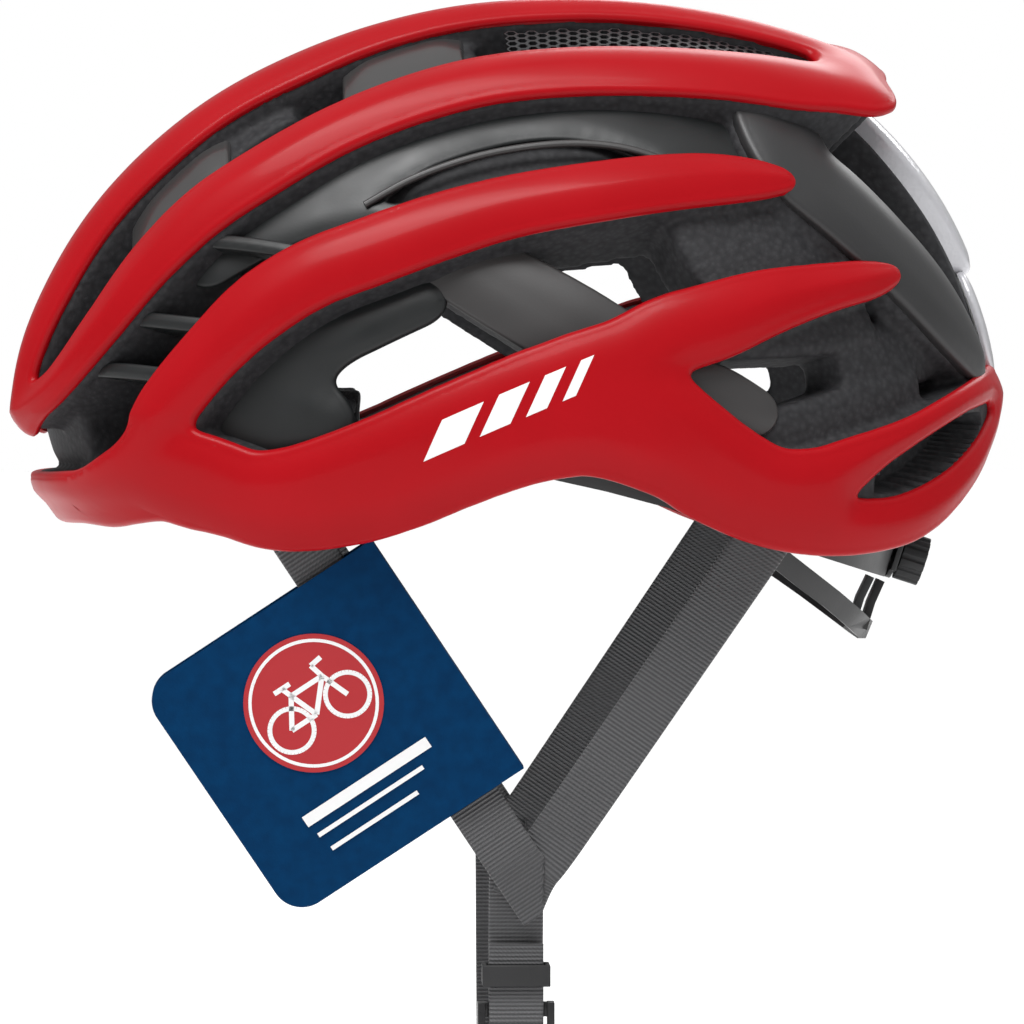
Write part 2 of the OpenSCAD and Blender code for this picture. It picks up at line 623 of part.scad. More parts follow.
// Folded card hung over the left front strap
module swing_tag() {
  color([0, 0.22, 0.4]) translate([-49.3, -74.6, -56.3]) rotate([6, 0, 0]) rotate([0, -33.5, 0]) {
    card(-2.7);
    card(2.2);
    translate([37, -2.7, -37.5]) cube([0.5, 5.4, 75]);
  }
}
module card(y) {
  translate([0, y + 0.5, 0]) rotate([90, 0, 0]) linear_extrude(0.5) union() {
    translate([-29, -37.5]) square([66.5, 75]);
    translate([-37.5, -29]) square([20, 58]);
    for (z = [-29, 29]) translate([-29, z]) circle(r = 8.5, $fn = 48);
  }
}

crown_shell();
lower_shell();
liner();
roll_cage();
rear_panel_left();
rear_panel_right();
side_bridge_left();
side_bridge_right();
vent_plate_left();
vent_plate_right();
crown_bridge_front();
crown_bridge_middle();
mesh_center();
mesh_left();
mesh_right();
rear_reflector();
tail_reflector();
brow_pad();
crown_pad_center();
crown_pad_left();
crown_pad_right();
temple_pin_left();
temple_pin_right();
front_anchor_left();
front_anchor_right();
rear_anchor_left();
rear_anchor_right();
front_strap_left();
front_strap_right();
rear_strap_left();
rear_strap_right();
jaw_strap_left();
strap_keeper();
buckle_male();
buckle_female();
chin_strap();
chin_pad();
height_track();
height_strip();
headband_left();
headband_right();
cradle();
nape_support();
nape_pads();
dial_housing();
dial_knob();
pinion();
dial_screw();
detent_spring();
belt_left();
belt_right();
swing_tag();
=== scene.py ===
"""Looks for the cycling helmet.

Shapes are worked out in millimetres in the shared frame (-X is the front, +Y the rider's right, +Z up), and
build() stores them in metres.
"""
import json
import math

import bmesh
import bpy
import numpy as np
from mathutils import Matrix, Vector


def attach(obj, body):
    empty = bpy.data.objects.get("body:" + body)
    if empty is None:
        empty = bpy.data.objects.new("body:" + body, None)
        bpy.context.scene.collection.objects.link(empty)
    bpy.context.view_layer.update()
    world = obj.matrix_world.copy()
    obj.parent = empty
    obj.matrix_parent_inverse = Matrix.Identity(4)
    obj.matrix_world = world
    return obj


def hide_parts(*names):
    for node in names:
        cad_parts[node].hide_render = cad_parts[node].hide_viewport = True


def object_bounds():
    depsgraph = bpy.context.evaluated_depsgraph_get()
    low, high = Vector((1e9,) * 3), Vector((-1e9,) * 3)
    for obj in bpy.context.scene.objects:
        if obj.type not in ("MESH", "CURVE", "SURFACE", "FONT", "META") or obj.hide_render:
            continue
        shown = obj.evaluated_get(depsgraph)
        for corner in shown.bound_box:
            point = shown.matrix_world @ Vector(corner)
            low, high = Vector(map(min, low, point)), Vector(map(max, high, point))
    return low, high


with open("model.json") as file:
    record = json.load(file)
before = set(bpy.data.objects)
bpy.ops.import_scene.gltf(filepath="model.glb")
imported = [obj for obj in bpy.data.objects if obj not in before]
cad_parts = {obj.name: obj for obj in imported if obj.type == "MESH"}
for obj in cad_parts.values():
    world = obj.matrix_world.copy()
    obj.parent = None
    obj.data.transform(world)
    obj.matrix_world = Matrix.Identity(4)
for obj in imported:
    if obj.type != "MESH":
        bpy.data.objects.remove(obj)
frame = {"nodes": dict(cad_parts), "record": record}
cad_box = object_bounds()

MM = 0.001
FAR = 1e3

# ---------------------------------------------------------------- the dome

CENTER = np.array([10.0, 0.0, 20.0])
POWER = 2.25
OUTER = np.array([155.0, 132.0, 101.0, 128.5])  # front, rear, side, top
INNER = np.array([108.0, 104.0, 79.0, 98.0])
TAIL_REAR = 176.0
BROW_Z, BROW_TUCK = 29.0, 0.48
BROW_START, BROW_RUN = 60, 80


def arr(points):
    return np.asarray(points, float).reshape(-1, len(points[0]))


def dome_axes(share, off, rear):
    outer = OUTER.copy()
    if rear:
        outer[1] = rear
    share = np.asarray(share, float).reshape(-1, 1)
    off = np.asarray(off, float).reshape(-1, 1)
    return outer * (1 - share) + INNER * share + off


def gauge(v, axes):
    x = np.abs(v[:, 0]) / np.where(v[:, 0] < 0, axes[:, 0], axes[:, 1])
    y = np.abs(v[:, 1]) / axes[:, 2]
    z = v[:, 2] / axes[:, 3]
    return np.sqrt((x**POWER + y**POWER) ** (2 / POWER) + z * z)


def skin(points, share=0.0, off=0.0, rear=None):
    """Points of the dome on the rays through points, share of the way into the wall, moved out by off."""
    v = np.asarray(points, float) - CENTER
    q = CENTER + v / gauge(v, dome_axes(share, off, rear))[:, None]
    forward = np.clip((-q[:, 0] - BROW_START) / BROW_RUN, 0, 1)
    lean = BROW_TUCK * np.clip(BROW_Z - q[:, 2], 0, None) * forward
    q[:, 0] += lean * (1 - np.broadcast_to(share, lean.shape))
    return q


def outward(points):
    """The way out of the dome, as in the CAD: the normal of a plain ellipsoid of the same size."""
    v = points - CENTER
    n = v / np.stack([np.where(v[:, 0] < 0, OUTER[0], OUTER[1]) ** 2, np.full(len(v), OUTER[2] ** 2),
                      np.full(len(v), OUTER[3] ** 2)], 1)
    return n / np.linalg.norm(n, axis=1)[:, None]


# ---------------------------------------------------------------- centrelines

# As in the CAD: x, y, z and half width of points near the right half of the dome, front to rear

RIB_1 = [(-138, 34, 30, 6), (-133, 34, 46, 8), (-123, 36, 64, 9), (-110, 36, 83, 9.5), (-95, 36, 99, 10),
         (-78, 35, 113, 10), (-58, 35, 124, 10), (-35, 32, 134, 9), (-8, 28, 141, 8.5), (22, 25, 143, 8),
         (52, 23, 141, 8), (78, 21, 137, 8), (99, 20, 130, 8)]
RIB_2 = [(-138, 36, 29, 6), (-128, 51, 37, 6), (-114, 60, 53, 7.5), (-99, 64, 73, 9), (-85, 65, 86, 9.7),
         (-68, 66, 97, 9.7), (-49, 65, 108, 9.5), (-30, 63, 116, 9.7), (-8, 60, 122, 10), (14, 58, 125, 10.3),
         (36, 56, 125, 10.6), (59, 53, 124, 11), (80, 48, 121, 12), (98, 40, 119, 10)]
RIB_3 = [(-104, 73, 16, 9), (-96, 78, 30, 9.5), (-83, 82, 46, 9.5), (-69, 84, 59, 10.5), (-55, 86, 68, 10.5),
         (-40, 87, 73.5, 10.5), (-22, 87, 80, 10.3), (-1, 85, 85.5, 9.7), (27, 83, 91, 9.4),
         (54, 77, 94, 8.5), (68, 72, 94, 6.5), (76, 69, 94, 4)]
RIB_4 = [(0, 99, 30, 11), (14, 98.5, 36, 12), (31, 98, 44, 12.5), (42, 96, 50.8, 11.5), (55, 93, 55, 11),
         (69, 88, 60, 9.5), (85, 80, 64, 7.3), (99, 70, 66.5, 5.7), (106, 63, 68, 3.5)]
RIM = [(-141, 0, 7, 7), (-141, 20, 7, 7), (-137, 36, 7, 7), (-129, 50, 7, 8), (-117, 63, 10, 10),
       (-109, 70, 12, 12), (-100, 75, 12, 14), (-89, 81, 10, 14), (-75, 87, 6, 13.5), (-60, 92, 6, 14.7),
       (-46, 95, 9, 16), (-32, 98, 14, 16.7), (-18, 99, 20, 17), (-3, 100, 26, 17.5), (11, 99, 30, 18.5),
       (25, 99, 31, 19.5), (44, 98, 21, 15.8), (54, 96, 14, 15), (68, 92, 7, 14), (82, 87, 5, 15),
       (96, 79, 7, 17), (111, 69, 11, 17.5), (125, 55, 20, 15), (134, 38, 29, 11), (139, 20, 34, 8.5),
       (141, 0, 35, 8)]
TAIL_BAR = [(97, 0, 131, 11), (97, 22, 128, 11), (96, 40, 120, 11)]
PILLAR = [(76, 50, 124, 13), (80, 60, 112, 14), (84, 64, 101, 14), (92, 61, 88, 14), (105, 56, 73, 13.5),
          (118, 46, 57, 12.5), (131, 35, 45, 9)]
# The eye-shaped outlet low in the band
EYE = [(94, 80, 7, 1), (104, 74, 11, 4.8), (117, 63, 17.5, 6.2), (129, 49, 24.5, 5), (138, 33, 30.5, 1.6)]


def spline(line, step=2.0):
    """Catmull-Rom through the points, with a sample about every step millimetres."""
    p = arr(line)
    ends = np.vstack([p[:1], p, p[-1:]])
    out = []
    for a, b, c, d in zip(ends, ends[1:], ends[2:], ends[3:]):
        n = max(2, int(np.linalg.norm((c - b)[:3]) / step))
        t = (np.arange(n) / n)[:, None]
        bend, twist = 2 * a - 5 * b + 4 * c - d, 3 * b - a - 3 * c + d
        out.append(0.5 * (2 * b + (c - a) * t + bend * t**2 + twist * t**3))
    return np.vstack(out + [p[-1:]])


BAND_STEP = 3.0


class Band:
    """A rounded stripe on the dome along a centreline, given as a distance: below 0 inside."""

    def __init__(self, line, rear=None, share=0.0):
        s = spline(line, BAND_STEP)
        self.points = skin(s[:, :3], share, rear=rear)
        self.half = s[:, 3]

    def distance(self, q):
        a, b = self.points[:-1], self.points[1:]
        wa, wb = self.half[:-1], self.half[1:]
        ab = b - a
        length = (ab * ab).sum(1)
        best = np.full(len(q), FAR)
        for i in range(len(a)):
            ap = q - a[i]
            t = np.clip(ap @ ab[i] / length[i], 0, 1)
            d = np.sqrt(((ap - t[:, None] * ab[i]) ** 2).sum(1)) - (wa[i] * (1 - t) + wb[i] * t)
            best = np.minimum(best, d)
        return best


def smooth_min(a, b, k):
    h = np.clip(k - np.abs(a - b), 0, None) / k
    return np.minimum(a, b) - h * h * k / 4


NEAR = 45  # a band further away than this from a point is left out


def fold(points):
    """The right-hand twin of each point, since the helmet is the same on both sides."""
    q = points.copy()
    q[:, 1] = np.abs(q[:, 1])
    return q


def union(bands, k):
    """The bands and their mirror images as one region, blended over k millimetres where they meet."""
    def field(points):
        q = fold(points)
        out = np.full(len(q), FAR)
        for band in bands:
            near = ((q > band.points.min(0) - NEAR) & (q < band.points.max(0) + NEAR)).all(1)
            d = np.full(len(q), FAR)
            if near.any():
                d[near] = band.distance(q[near])
            out = smooth_min(out, d, k)
        return out
    return field


def less(field, cut, k):
    """The region of field outside the region of cut, with its corners rounded over k millimetres."""
    return lambda q: -smooth_min(-field(q), cut(q), k)


# ---------------------------------------------------------------- meshes

GRID_LEVEL, GRID_RADIUS = 8, 100
WELD = 0.35
MARGIN = 4  # how far outside a region the grid is kept before it is cut


def arrays(bm):
    """The vertices and triangles of a bmesh, which is freed."""
    v = np.array([x.co for x in bm.verts])
    f = np.array([[x.index for x in t.verts] for t in bm.faces])
    bm.free()
    return v, f


def sphere_grid():
    bm = bmesh.new()
    bmesh.ops.create_icosphere(bm, subdivisions=GRID_LEVEL, radius=1.0)
    v, f = arrays(bm)
    return v * GRID_RADIUS + CENTER, f


GRID_V, GRID_F = sphere_grid()


def clip(v, f, level_of):
    """The part of a triangle mesh where level_of is below 0, cut cleanly along the line."""
    s = level_of(v)
    keep = (s[f] < 0).any(1)
    f = f[keep]
    inside = s[f] < 0
    count = inside.sum(1)
    full = f[count == 3]
    edges, faces = {}, []
    new_v, base = [], len(v)

    def cross(a, b):
        key = (a, b) if a < b else (b, a)
        if key not in edges:
            t = s[a] / (s[a] - s[b])
            edges[key] = base + len(new_v)
            new_v.append(v[a] * (1 - t) + v[b] * t)
        return edges[key]

    for tri, ins in zip(f[count < 3], inside[count < 3]):
        k = int(np.argmax(ins)) if ins.sum() == 1 else int(np.argmin(ins))
        a, b, c = int(tri[k]), int(tri[(k + 1) % 3]), int(tri[(k + 2) % 3])
        if ins.sum() == 1:
            faces.append((a, cross(a, b), cross(a, c)))
        else:
            ab, ac = cross(a, b), cross(a, c)
            faces.append((ab, b, c))
            faces.append((ab, c, ac))
    v = np.vstack([v, np.array(new_v).reshape(-1, 3)])
    f = np.vstack([full, np.array(faces, int).reshape(-1, 3)])
    return weld(v, f)


def weld(v, f):
    """Joins vertices that lie close together, and drops the slivers that this leaves."""
    bm = bmesh.new()
    used = np.unique(f)
    index = np.full(len(v), -1)
    index[used] = np.arange(len(used))
    bv = [bm.verts.new(p) for p in v[used]]
    for t in index[f]:
        bm.faces.new([bv[i] for i in t])
    bmesh.ops.remove_doubles(bm, verts=bm.verts, dist=WELD)
    bmesh.ops.dissolve_degenerate(bm, edges=bm.edges, dist=WELD / 4)
    bmesh.ops.triangulate(bm, faces=bm.faces)
    bm.verts.index_update()
    return arrays(bm)


def boundary(f):
    """Directed edges used by one face only."""
    e = np.vstack([f[:, [0, 1]], f[:, [1, 2]], f[:, [2, 0]]])
    key = np.sort(e, 1)
    _, first, count = np.unique(key, axis=0, return_index=True, return_counts=True)
    return e[first[count == 1]]


PROBE = 0.4


def gradient(field, points):
    """The way out of the region along the dome."""
    g = np.stack([field(points + axis) - field(points - axis) for axis in np.eye(3) * PROBE], 1)
    n = outward(points)
    g -= (g * n).sum(1)[:, None] * n
    return g / np.maximum(np.linalg.norm(g, axis=1), 1e-9)[:, None]


RELAX_ROUNDS = 8


def relax(values, edges):
    """Evens out values along the closed outlines that the directed edges run round."""
    after, before = np.arange(len(values)), np.arange(len(values))
    after[edges[:, 0]] = edges[:, 1]
    before[edges[:, 1]] = edges[:, 0]
    for _ in range(RELAX_ROUNDS):
        values = values / 2 + (values[after] + values[before]) / 4
    return values


EDGE, CROWN, REACH = 2.4, 1.6, 9.0
EDGE_ANGLE = 84


def sink(depth, edge=EDGE, crown=CROWN, reach=REACH):
    """How far a crowned face lies below the dome, depth millimetres inside its outline."""
    return crown * (1 - np.clip((depth - edge) / reach, 0, 1)) ** 2


def slab(field, top, bottom, edge=EDGE, crown=CROWN, reach=REACH, arcs=5, walls=3, inset=0.6):
    """A closed slab over the region below 0 of field, with a crowned top, rounded edges and a bottom."""
    v, f = top(GRID_V), GRID_F
    f = f[(field(v)[f] < MARGIN).any(1)]
    v, f = clip(v, f, lambda q: field(q) + edge)
    rim_edges = boundary(f)
    rim = np.unique(rim_edges)
    slot = np.full(len(v), -1)
    slot[rim] = np.arange(len(rim))
    v[rim] = top(relax(v[rim], slot[rim_edges]))
    flat = v
    n = outward(flat)
    depth = np.clip(-field(flat), 0, None)
    depth[rim] = edge
    upper = flat - n * sink(depth, edge, crown, reach)[:, None]
    rings = []
    start, out = flat[rim], relax(gradient(field, flat[rim]), slot[rim_edges])
    out /= np.linalg.norm(out, axis=1)[:, None]
    for i in range(1, arcs + 1):
        a = math.radians(EDGE_ANGLE) * i / arcs
        q = top(start + out * edge * math.sin(a))
        rings.append(q - outward(q) * (crown + edge * (1 - math.cos(a))))
    last = start + out * edge
    low = bottom(last - out * inset)
    for i in range(1, walls + 1):
        rings.append(rings[arcs - 1] * (1 - i / walls) + low * (i / walls))
    under = bottom(flat)
    m, r = len(flat), len(rim)
    verts = np.vstack([upper, under] + rings)
    faces = [f, f[:, ::-1] + m]
    ring_at = [rim] + [2 * m + r * i + np.arange(r) for i in range(len(rings))] + [rim + m]
    a, b = slot[rim_edges[:, 0]], slot[rim_edges[:, 1]]
    for lo, hi in zip(ring_at, ring_at[1:]):
        faces.append(np.stack([lo[a], hi[a], hi[b]], 1))
        faces.append(np.stack([lo[a], hi[b], lo[b]], 1))
    return verts, np.vstack(faces)


def stack(*meshes):
    """Several (verts, faces) as one."""
    verts, faces, base = [], [], 0
    for v, f in meshes:
        verts.append(np.asarray(v, float))
        faces += [tuple(int(i) + base for i in face) for face in f]
        base += len(v)
    return np.vstack(verts), faces


def flip_y(mesh):
    v, f = mesh
    return np.asarray(v) * [1, -1, 1], [tuple(face)[::-1] for face in f]


def both(mesh):
    return stack(mesh, flip_y(mesh))


def band_solid(line, t0, off0, t1, off1, rear=None, round_=1.0):
    """A closed sweep through the wall of the dome along a centreline, as in the CAD but finer."""
    s = spline(line, BAND_STEP)
    on = skin(s[:, :3], rear=rear)
    along = np.gradient(on, axis=0)
    along /= np.linalg.norm(along, axis=1)[:, None]
    side = np.cross(outward(on), along)
    side = side / np.linalg.norm(side, axis=1)[:, None] * s[:, 3:4]
    rings = []
    for u in np.linspace(-1, 1, 9):
        rings.append(skin(on + side * u, t0, off0 - round_ * u**6, rear))
    for u in np.linspace(1, -1, 5):
        rings.append(skin(on + side * u, t1, off1, rear))
    return loft(np.stack(rings, 1))


def loft(rings):
    """Quads over rings[i][j], closed round j, with a cap at each end."""
    n, m = rings.shape[:2]
    faces = []
    for i in range(n - 1):
        for j in range(m):
            k = (j + 1) % m
            faces.append((i * m + j, i * m + k, (i + 1) * m + k, (i + 1) * m + j))
    faces.append(tuple(range(m - 1, -1, -1)))
    faces.append(tuple((n - 1) * m + j for j in range(m)))
    return rings.reshape(-1, 3), faces


def build(name, mesh, material, body=None, replaces=(), smooth=30, uv=None):
    v, f = mesh
    data = bpy.data.meshes.new(name)
    data.from_pydata((np.asarray(v) * MM).tolist(), [], [tuple(int(i) for i in face) for face in f])
    data.validate()
    if uv is not None:
        layer = data.uv_layers.new(name="cloth")
        index = np.zeros(len(data.loops), int)
        data.loops.foreach_get("vertex_index", index)
        layer.data.foreach_set("uv", np.asarray(uv)[index].astype(np.float32).ravel())
    obj = bpy.data.objects.new(name, data)
    bpy.context.scene.collection.objects.link(obj)
    bm = bmesh.new()
    bm.from_mesh(data)
    bmesh.ops.recalc_face_normals(bm, faces=bm.faces)
    bm.to_mesh(data)
    bm.free()
    data.materials.append(material)
    for p in data.polygons:
        p.use_smooth = True
    if smooth < 180:
        data.set_sharp_from_angle(angle=math.radians(smooth))
    if body:
        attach(obj, body)
    if replaces:
        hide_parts(*replaces)
    return obj


def apply(obj, kind, **settings):
    mod = obj.modifiers.new(kind.title(), kind)
    for key, value in settings.items():
        setattr(mod, key, value)
    with bpy.context.temp_override(object=obj, active_object=obj, selected_objects=[obj]):
        bpy.ops.object.modifier_apply(modifier=mod.name)


# ---------------------------------------------------------------- materials

class Shader:
    """A small helper that builds one procedural material."""

    def __init__(self, name, color, rough, **values):
        self.mat = bpy.data.materials.new(name)
        self.mat.use_nodes = True
        self.tree = self.mat.node_tree
        self.bsdf = self.tree.nodes["Principled BSDF"]
        self.set(self.bsdf, {"Base Color": (*color, 1), "Roughness": rough, **values})
        self.height = None

    def set(self, node, values):
        for key, value in values.items():
            node.inputs[key.replace("_", " ")].default_value = value

    def node(self, kind, links=None, props=None, **values):
        n = self.tree.nodes.new(kind)
        for key, value in (props or {}).items():
            setattr(n, key, value)
        self.set(n, values)
        for key, source in (links or {}).items():
            self.tree.links.new(source, n.inputs[key])
        return n

    def coords(self, kind="Object"):
        return self.node("ShaderNodeTexCoord").outputs[kind]

    def noise(self, scale, detail):
        return self.node("ShaderNodeTexNoise", {"Vector": self.coords()}, Scale=scale, Detail=detail)

    def ramp(self, source, low, high, a=0.0, b=1.0):
        n = self.node("ShaderNodeMapRange", {"Value": source})
        for key, value in zip(("From Min", "From Max", "To Min", "To Max"), (low, high, a, b)):
            n.inputs[key].default_value = value
        return n.outputs["Result"]

    def bump(self, source, strength, distance):
        b = self.node("ShaderNodeBump", {"Height": source}, Strength=strength, Distance=distance)
        if self.height is not None:
            self.tree.links.new(self.height, b.inputs["Normal"])
        self.height = b.outputs["Normal"]
        self.tree.links.new(self.height, self.bsdf.inputs["Normal"])

    def tint(self, source, a, b):
        mix = self.node("ShaderNodeMix", {"Factor": source}, {"data_type": "RGBA"})
        mix.inputs[6].default_value = (*a, 1)
        mix.inputs[7].default_value = (*b, 1)
        self.tree.links.new(mix.outputs[2], self.bsdf.inputs["Base Color"])

    def roughen(self, source, a, b):
        self.tree.links.new(self.ramp(source, 0.3, 0.7, a, b), self.bsdf.inputs["Roughness"])


def red_lacquer():
    s = Shader("red_lacquer", (0.38, 0.003, 0.007), 0.36, Coat_Weight=0.12, Coat_Roughness=0.12, Coat_IOR=1.4,
               Specular_IOR_Level=0.1)
    s.tint(s.ramp(s.noise(35, 3).outputs["Fac"], 0.3, 0.7), (0.37, 0.0028, 0.0065), (0.40, 0.0034, 0.008))
    s.bump(s.noise(900, 2).outputs["Fac"], 0.05, 0.0002)
    return s.mat


def foam_black():
    s = Shader("foam_black", (0.030, 0.030, 0.033), 0.7, Specular_IOR_Level=0.4)
    beads = s.node("ShaderNodeTexVoronoi", {"Vector": s.coords()}, {"feature": "SMOOTH_F1"}, Scale=620.0)
    s.tint(s.ramp(beads.outputs["Distance"], 0.1, 0.7), (0.030, 0.030, 0.033), (0.013, 0.013, 0.015))
    s.bump(beads.outputs["Distance"], 0.3, 0.0005)
    s.bump(s.noise(1500, 3).outputs["Fac"], 0.25, 0.0003)
    return s.mat


def plastic(name, color, rough, grain=0.15, scale=1400, coat=0.0):
    s = Shader(name, color, rough, Coat_Weight=coat, Coat_Roughness=0.12)
    n = s.noise(scale, 3)
    s.bump(n.outputs["Fac"], grain, 0.0002)
    s.roughen(s.noise(60, 3).outputs["Fac"], rough * 0.85, rough * 1.2)
    return s.mat


def webbing():
    """Ribs run across the strap, with a finer twill. The UV is in millimetres."""
    s = Shader("webbing", (0.06, 0.06, 0.063), 0.6, Sheen_Weight=0.25, Sheen_Roughness=0.5)
    uv = s.coords(kind="UV")
    ribs = {"bands_direction": "Y", "wave_profile": "SIN"}
    wave = s.node("ShaderNodeTexWave", {"Vector": uv}, ribs, Scale=0.28)
    s.bump(wave.outputs["Fac"], 0.6, 0.0006)
    twill = s.node("ShaderNodeTexWave", {"Vector": uv}, {"bands_direction": "DIAGONAL"}, Scale=0.55)
    s.bump(twill.outputs["Fac"], 0.25, 0.0003)
    # The colour is lighter on the crests of the ribs and darker in the grooves between them: painted shade in
    # the grooves, painted light on the crests.
    s.tint(s.ramp(wave.outputs["Fac"], 0.1, 0.9), (0.046, 0.046, 0.049), (0.105, 0.105, 0.109))
    return s.mat


def pad_cloth():
    s = Shader("pad_cloth", (0.022, 0.022, 0.024), 0.9, Sheen_Weight=0.5, Sheen_Roughness=0.6)
    knit = s.node("ShaderNodeTexVoronoi", {"Vector": s.coords()}, Scale=900.0)
    s.bump(knit.outputs["Distance"], 0.6, 0.0005)
    s.bump(s.noise(2500, 2).outputs["Fac"], 0.4, 0.0003)
    s.tint(s.ramp(knit.outputs["Distance"], 0.1, 0.7), (0.028, 0.028, 0.031), (0.010, 0.010, 0.011))
    return s.mat


def metal(name, color, rough):
    s = Shader(name, color, rough, Metallic=1.0)
    s.roughen(s.noise(700, 4).outputs["Fac"], rough * 0.7, rough * 1.4)
    return s.mat


def card_stock():
    s = Shader("card_navy", (0.0, 0.031, 0.099), 0.55, Specular_IOR_Level=0.06)
    fibre = s.noise(260, 4)
    s.tint(s.ramp(fibre.outputs["Fac"], 0.3, 0.7), (0.0, 0.026, 0.086), (0.0, 0.035, 0.11))
    s.bump(s.noise(1800, 3).outputs["Fac"], 0.2, 0.0002)
    return s.mat


def ink(name, color):
    s = Shader(name, color, 0.4)
    s.bump(s.noise(1500, 2).outputs["Fac"], 0.05, 0.0001)
    return s.mat


def reflector_film():
    s = Shader("reflector_film", (0.62, 0.62, 0.65), 0.28, Metallic=0.25, Coat_Weight=0.6, Coat_Roughness=0.1)
    cells = s.node("ShaderNodeTexVoronoi", {"Vector": s.coords()}, Scale=900.0)
    s.bump(cells.outputs["Distance"], 0.25, 0.0003)
    return s.mat


RED = red_lacquer()
FOAM = foam_black()
SATIN = plastic("satin_grey", (0.042, 0.040, 0.040), 0.4, 0.1)
# The darker copy of the satin dark finish, darkened to match the shaded vent floor: painted shade. It also
# goes on the louvers, front pockets and the CAD's satin dark parts.
SATIN_DARK = plastic("satin_dark", (0.008, 0.0095, 0.010), 0.42, 0.1)
# The lighter copy of the same satin dark finish, for the rear cover outside the vents: the lit one of the two
# copies.
PANEL = plastic("satin_panel", (0.028, 0.028, 0.029), 0.4, 0.12)
GLOSS_DARK = plastic("gloss_dark", (0.04, 0.039, 0.039), 0.3, 0.04, coat=0.5)
BLACK = plastic("hard_black", (0.020, 0.020, 0.021), 0.42, 0.15)
ACETAL = plastic("acetal_black", (0.016, 0.016, 0.017), 0.28, 0.08)
RUBBER = plastic("rubber_black", (0.018, 0.018, 0.019), 0.62, 0.3, 900)
CAGE = plastic("cage_nylon", (0.03, 0.03, 0.03), 0.5)
MESH = plastic("mesh_nylon", (0.022, 0.022, 0.024), 0.4, 0.1)
WEB = webbing()
PAD = pad_cloth()
STEEL = metal("plated_steel", (0.62, 0.62, 0.63), 0.28)
CARD = card_stock()
FILM = reflector_film()
WHITE = ink("white_ink", (0.86, 0.86, 0.86))
RED_INK = ink("red_ink", (0.42, 0.006, 0.012))

# ---------------------------------------------------------------- shells

SHELL_DEPTH = 5.0
PLATE_SMOOTH = 50  # edges sharper than this many degrees stay sharp
rib_1, rib_2 = Band(RIB_1, TAIL_REAR), Band(RIB_2, TAIL_REAR)
tail = Band(TAIL_BAR, TAIL_REAR)
rib_3, rib_4, rim = Band(RIB_3), Band(RIB_4), Band(RIM)
crown_field = union([rib_1, rib_2, tail], 7)
eye = union([Band(EYE)], 1)
lower_field = less(union([rim, rib_3, rib_4], 6), eye, 2)


def shell_top(rear):
    return lambda q: skin(q, rear=rear)


def shell_bottom(rear):
    def place(q):
        on = skin(q, rear=rear)
        return on - outward(on) * SHELL_DEPTH
    return place


for name, field, rear in (("crown_shell", crown_field, TAIL_REAR), ("lower_shell", lower_field, None)):
    shell = slab(field, shell_top(rear), shell_bottom(rear))
    build(f"{name}_red", shell, RED, "helmet", [name], smooth=PLATE_SMOOTH)

# ---------------------------------------------------------------- foam liner


FOAM_SETBACK, FOAM_DROP, FOAM_VOXEL = 0.9, 3.6, 1.3


def narrowed(line, by):
    return [(*p[:3], p[3] - by) for p in line]


def foam_rib(line, rear=None):
    return band_solid(narrowed(line, FOAM_SETBACK), 0, -FOAM_DROP, 1, 0, rear, round_=0.3)


def web(line, share):
    """A bridge of foam between ribs, set back by a share of the wall."""
    return band_solid(line, share, 0, 1, 0.5)


def crossbar(x, half, share):
    y = np.arange(-60, 61, 15)
    crest = 20 + 120 * math.sqrt(1 - (x / 190) ** 2)
    p = skin(np.stack([np.full(len(y), x), y, np.full(len(y), crest)], 1))
    return web([(*q, half) for q in p], share)


STRUT = [(-24, 90, 80, 11), (-6, 96, 70, 12), (12, 98, 59, 12.5), (26, 99, 50, 12.5)]
REAR_STRUT = [(58, 78, 94, 17), (70, 82, 78, 20), (84, 82, 62, 18)]
VENT_TRAY = [(58, 94, 23, 6), (72, 90, 23, 8), (88, 83, 26, 9), (104, 73, 31, 9), (120, 58, 36, 8)]
CORNER = [(44, 97, 40, 7), (56, 95, 36, 8), (68, 92, 30, 7)]
REAR_FILL = [(96, 77, 45, 10), (105, 68, 46, 11), (116, 56, 47, 10), (126, 44, 48, 8)]
TOP_FILL = [(56, 92, 51, 6), (74, 87, 53, 7), (92, 78, 54, 7), (106, 68, 57, 6)]
FRONT_POCKET = [(-92, 78, 26, 9), (-78, 84, 28, 12), (-64, 88, 28, 11), (-56, 90, 27, 9)]
SLATS = [[(-120, 56, 42, 2.2), (-106, 68, 41, 2.2), (-90, 79, 39, 2.2)],
         [(-107, 62, 56, 2.2), (-94, 71, 54.5, 2.2), (-80, 80, 53, 2.2)],
         [(-86, 65, 77, 2.2), (-70, 75, 75.5, 2.2), (-54, 84, 73, 2.2)]]
CHANNEL = [(-86, 65, 76, 11), (-62, 71, 90, 12), (-38, 74, 97, 13), (-10, 73, 104, 13), (20, 71, 110, 14),
           (50, 67, 111, 15), (76, 58, 110, 14)]
SPINE = [(84, 0, 128, 12), (102, 0, 112, 14), (118, 0, 92, 15), (130, 0, 68, 16), (138, 0, 46, 15)]
SILL = [(-134, -50, 22, 8), (-139, -28, 22, 8), (-141, 0, 22, 8), (-139, 28, 22, 8), (-134, 50, 22, 8)]
CROSSBARS = [(-92, 15, 0.26), (-30, 18, 0.26), (38, 12, 0.42)]
full_rim = RIM + [(x, -y, z, w) for x, y, z, w in RIM[-2:0:-1]] + RIM[:1]
foam_parts = [foam_rib(full_rim), foam_rib(TAIL_BAR, TAIL_REAR), flip_y(foam_rib(TAIL_BAR, TAIL_REAR))]
for line, rear in ((RIB_1, TAIL_REAR), (RIB_2, TAIL_REAR), (RIB_3, None), (RIB_4, None)):
    foam_parts.append(both(foam_rib(line, rear)))
foam_parts.append(both(band_solid(PILLAR, 0, -5, 1, 0.5)))
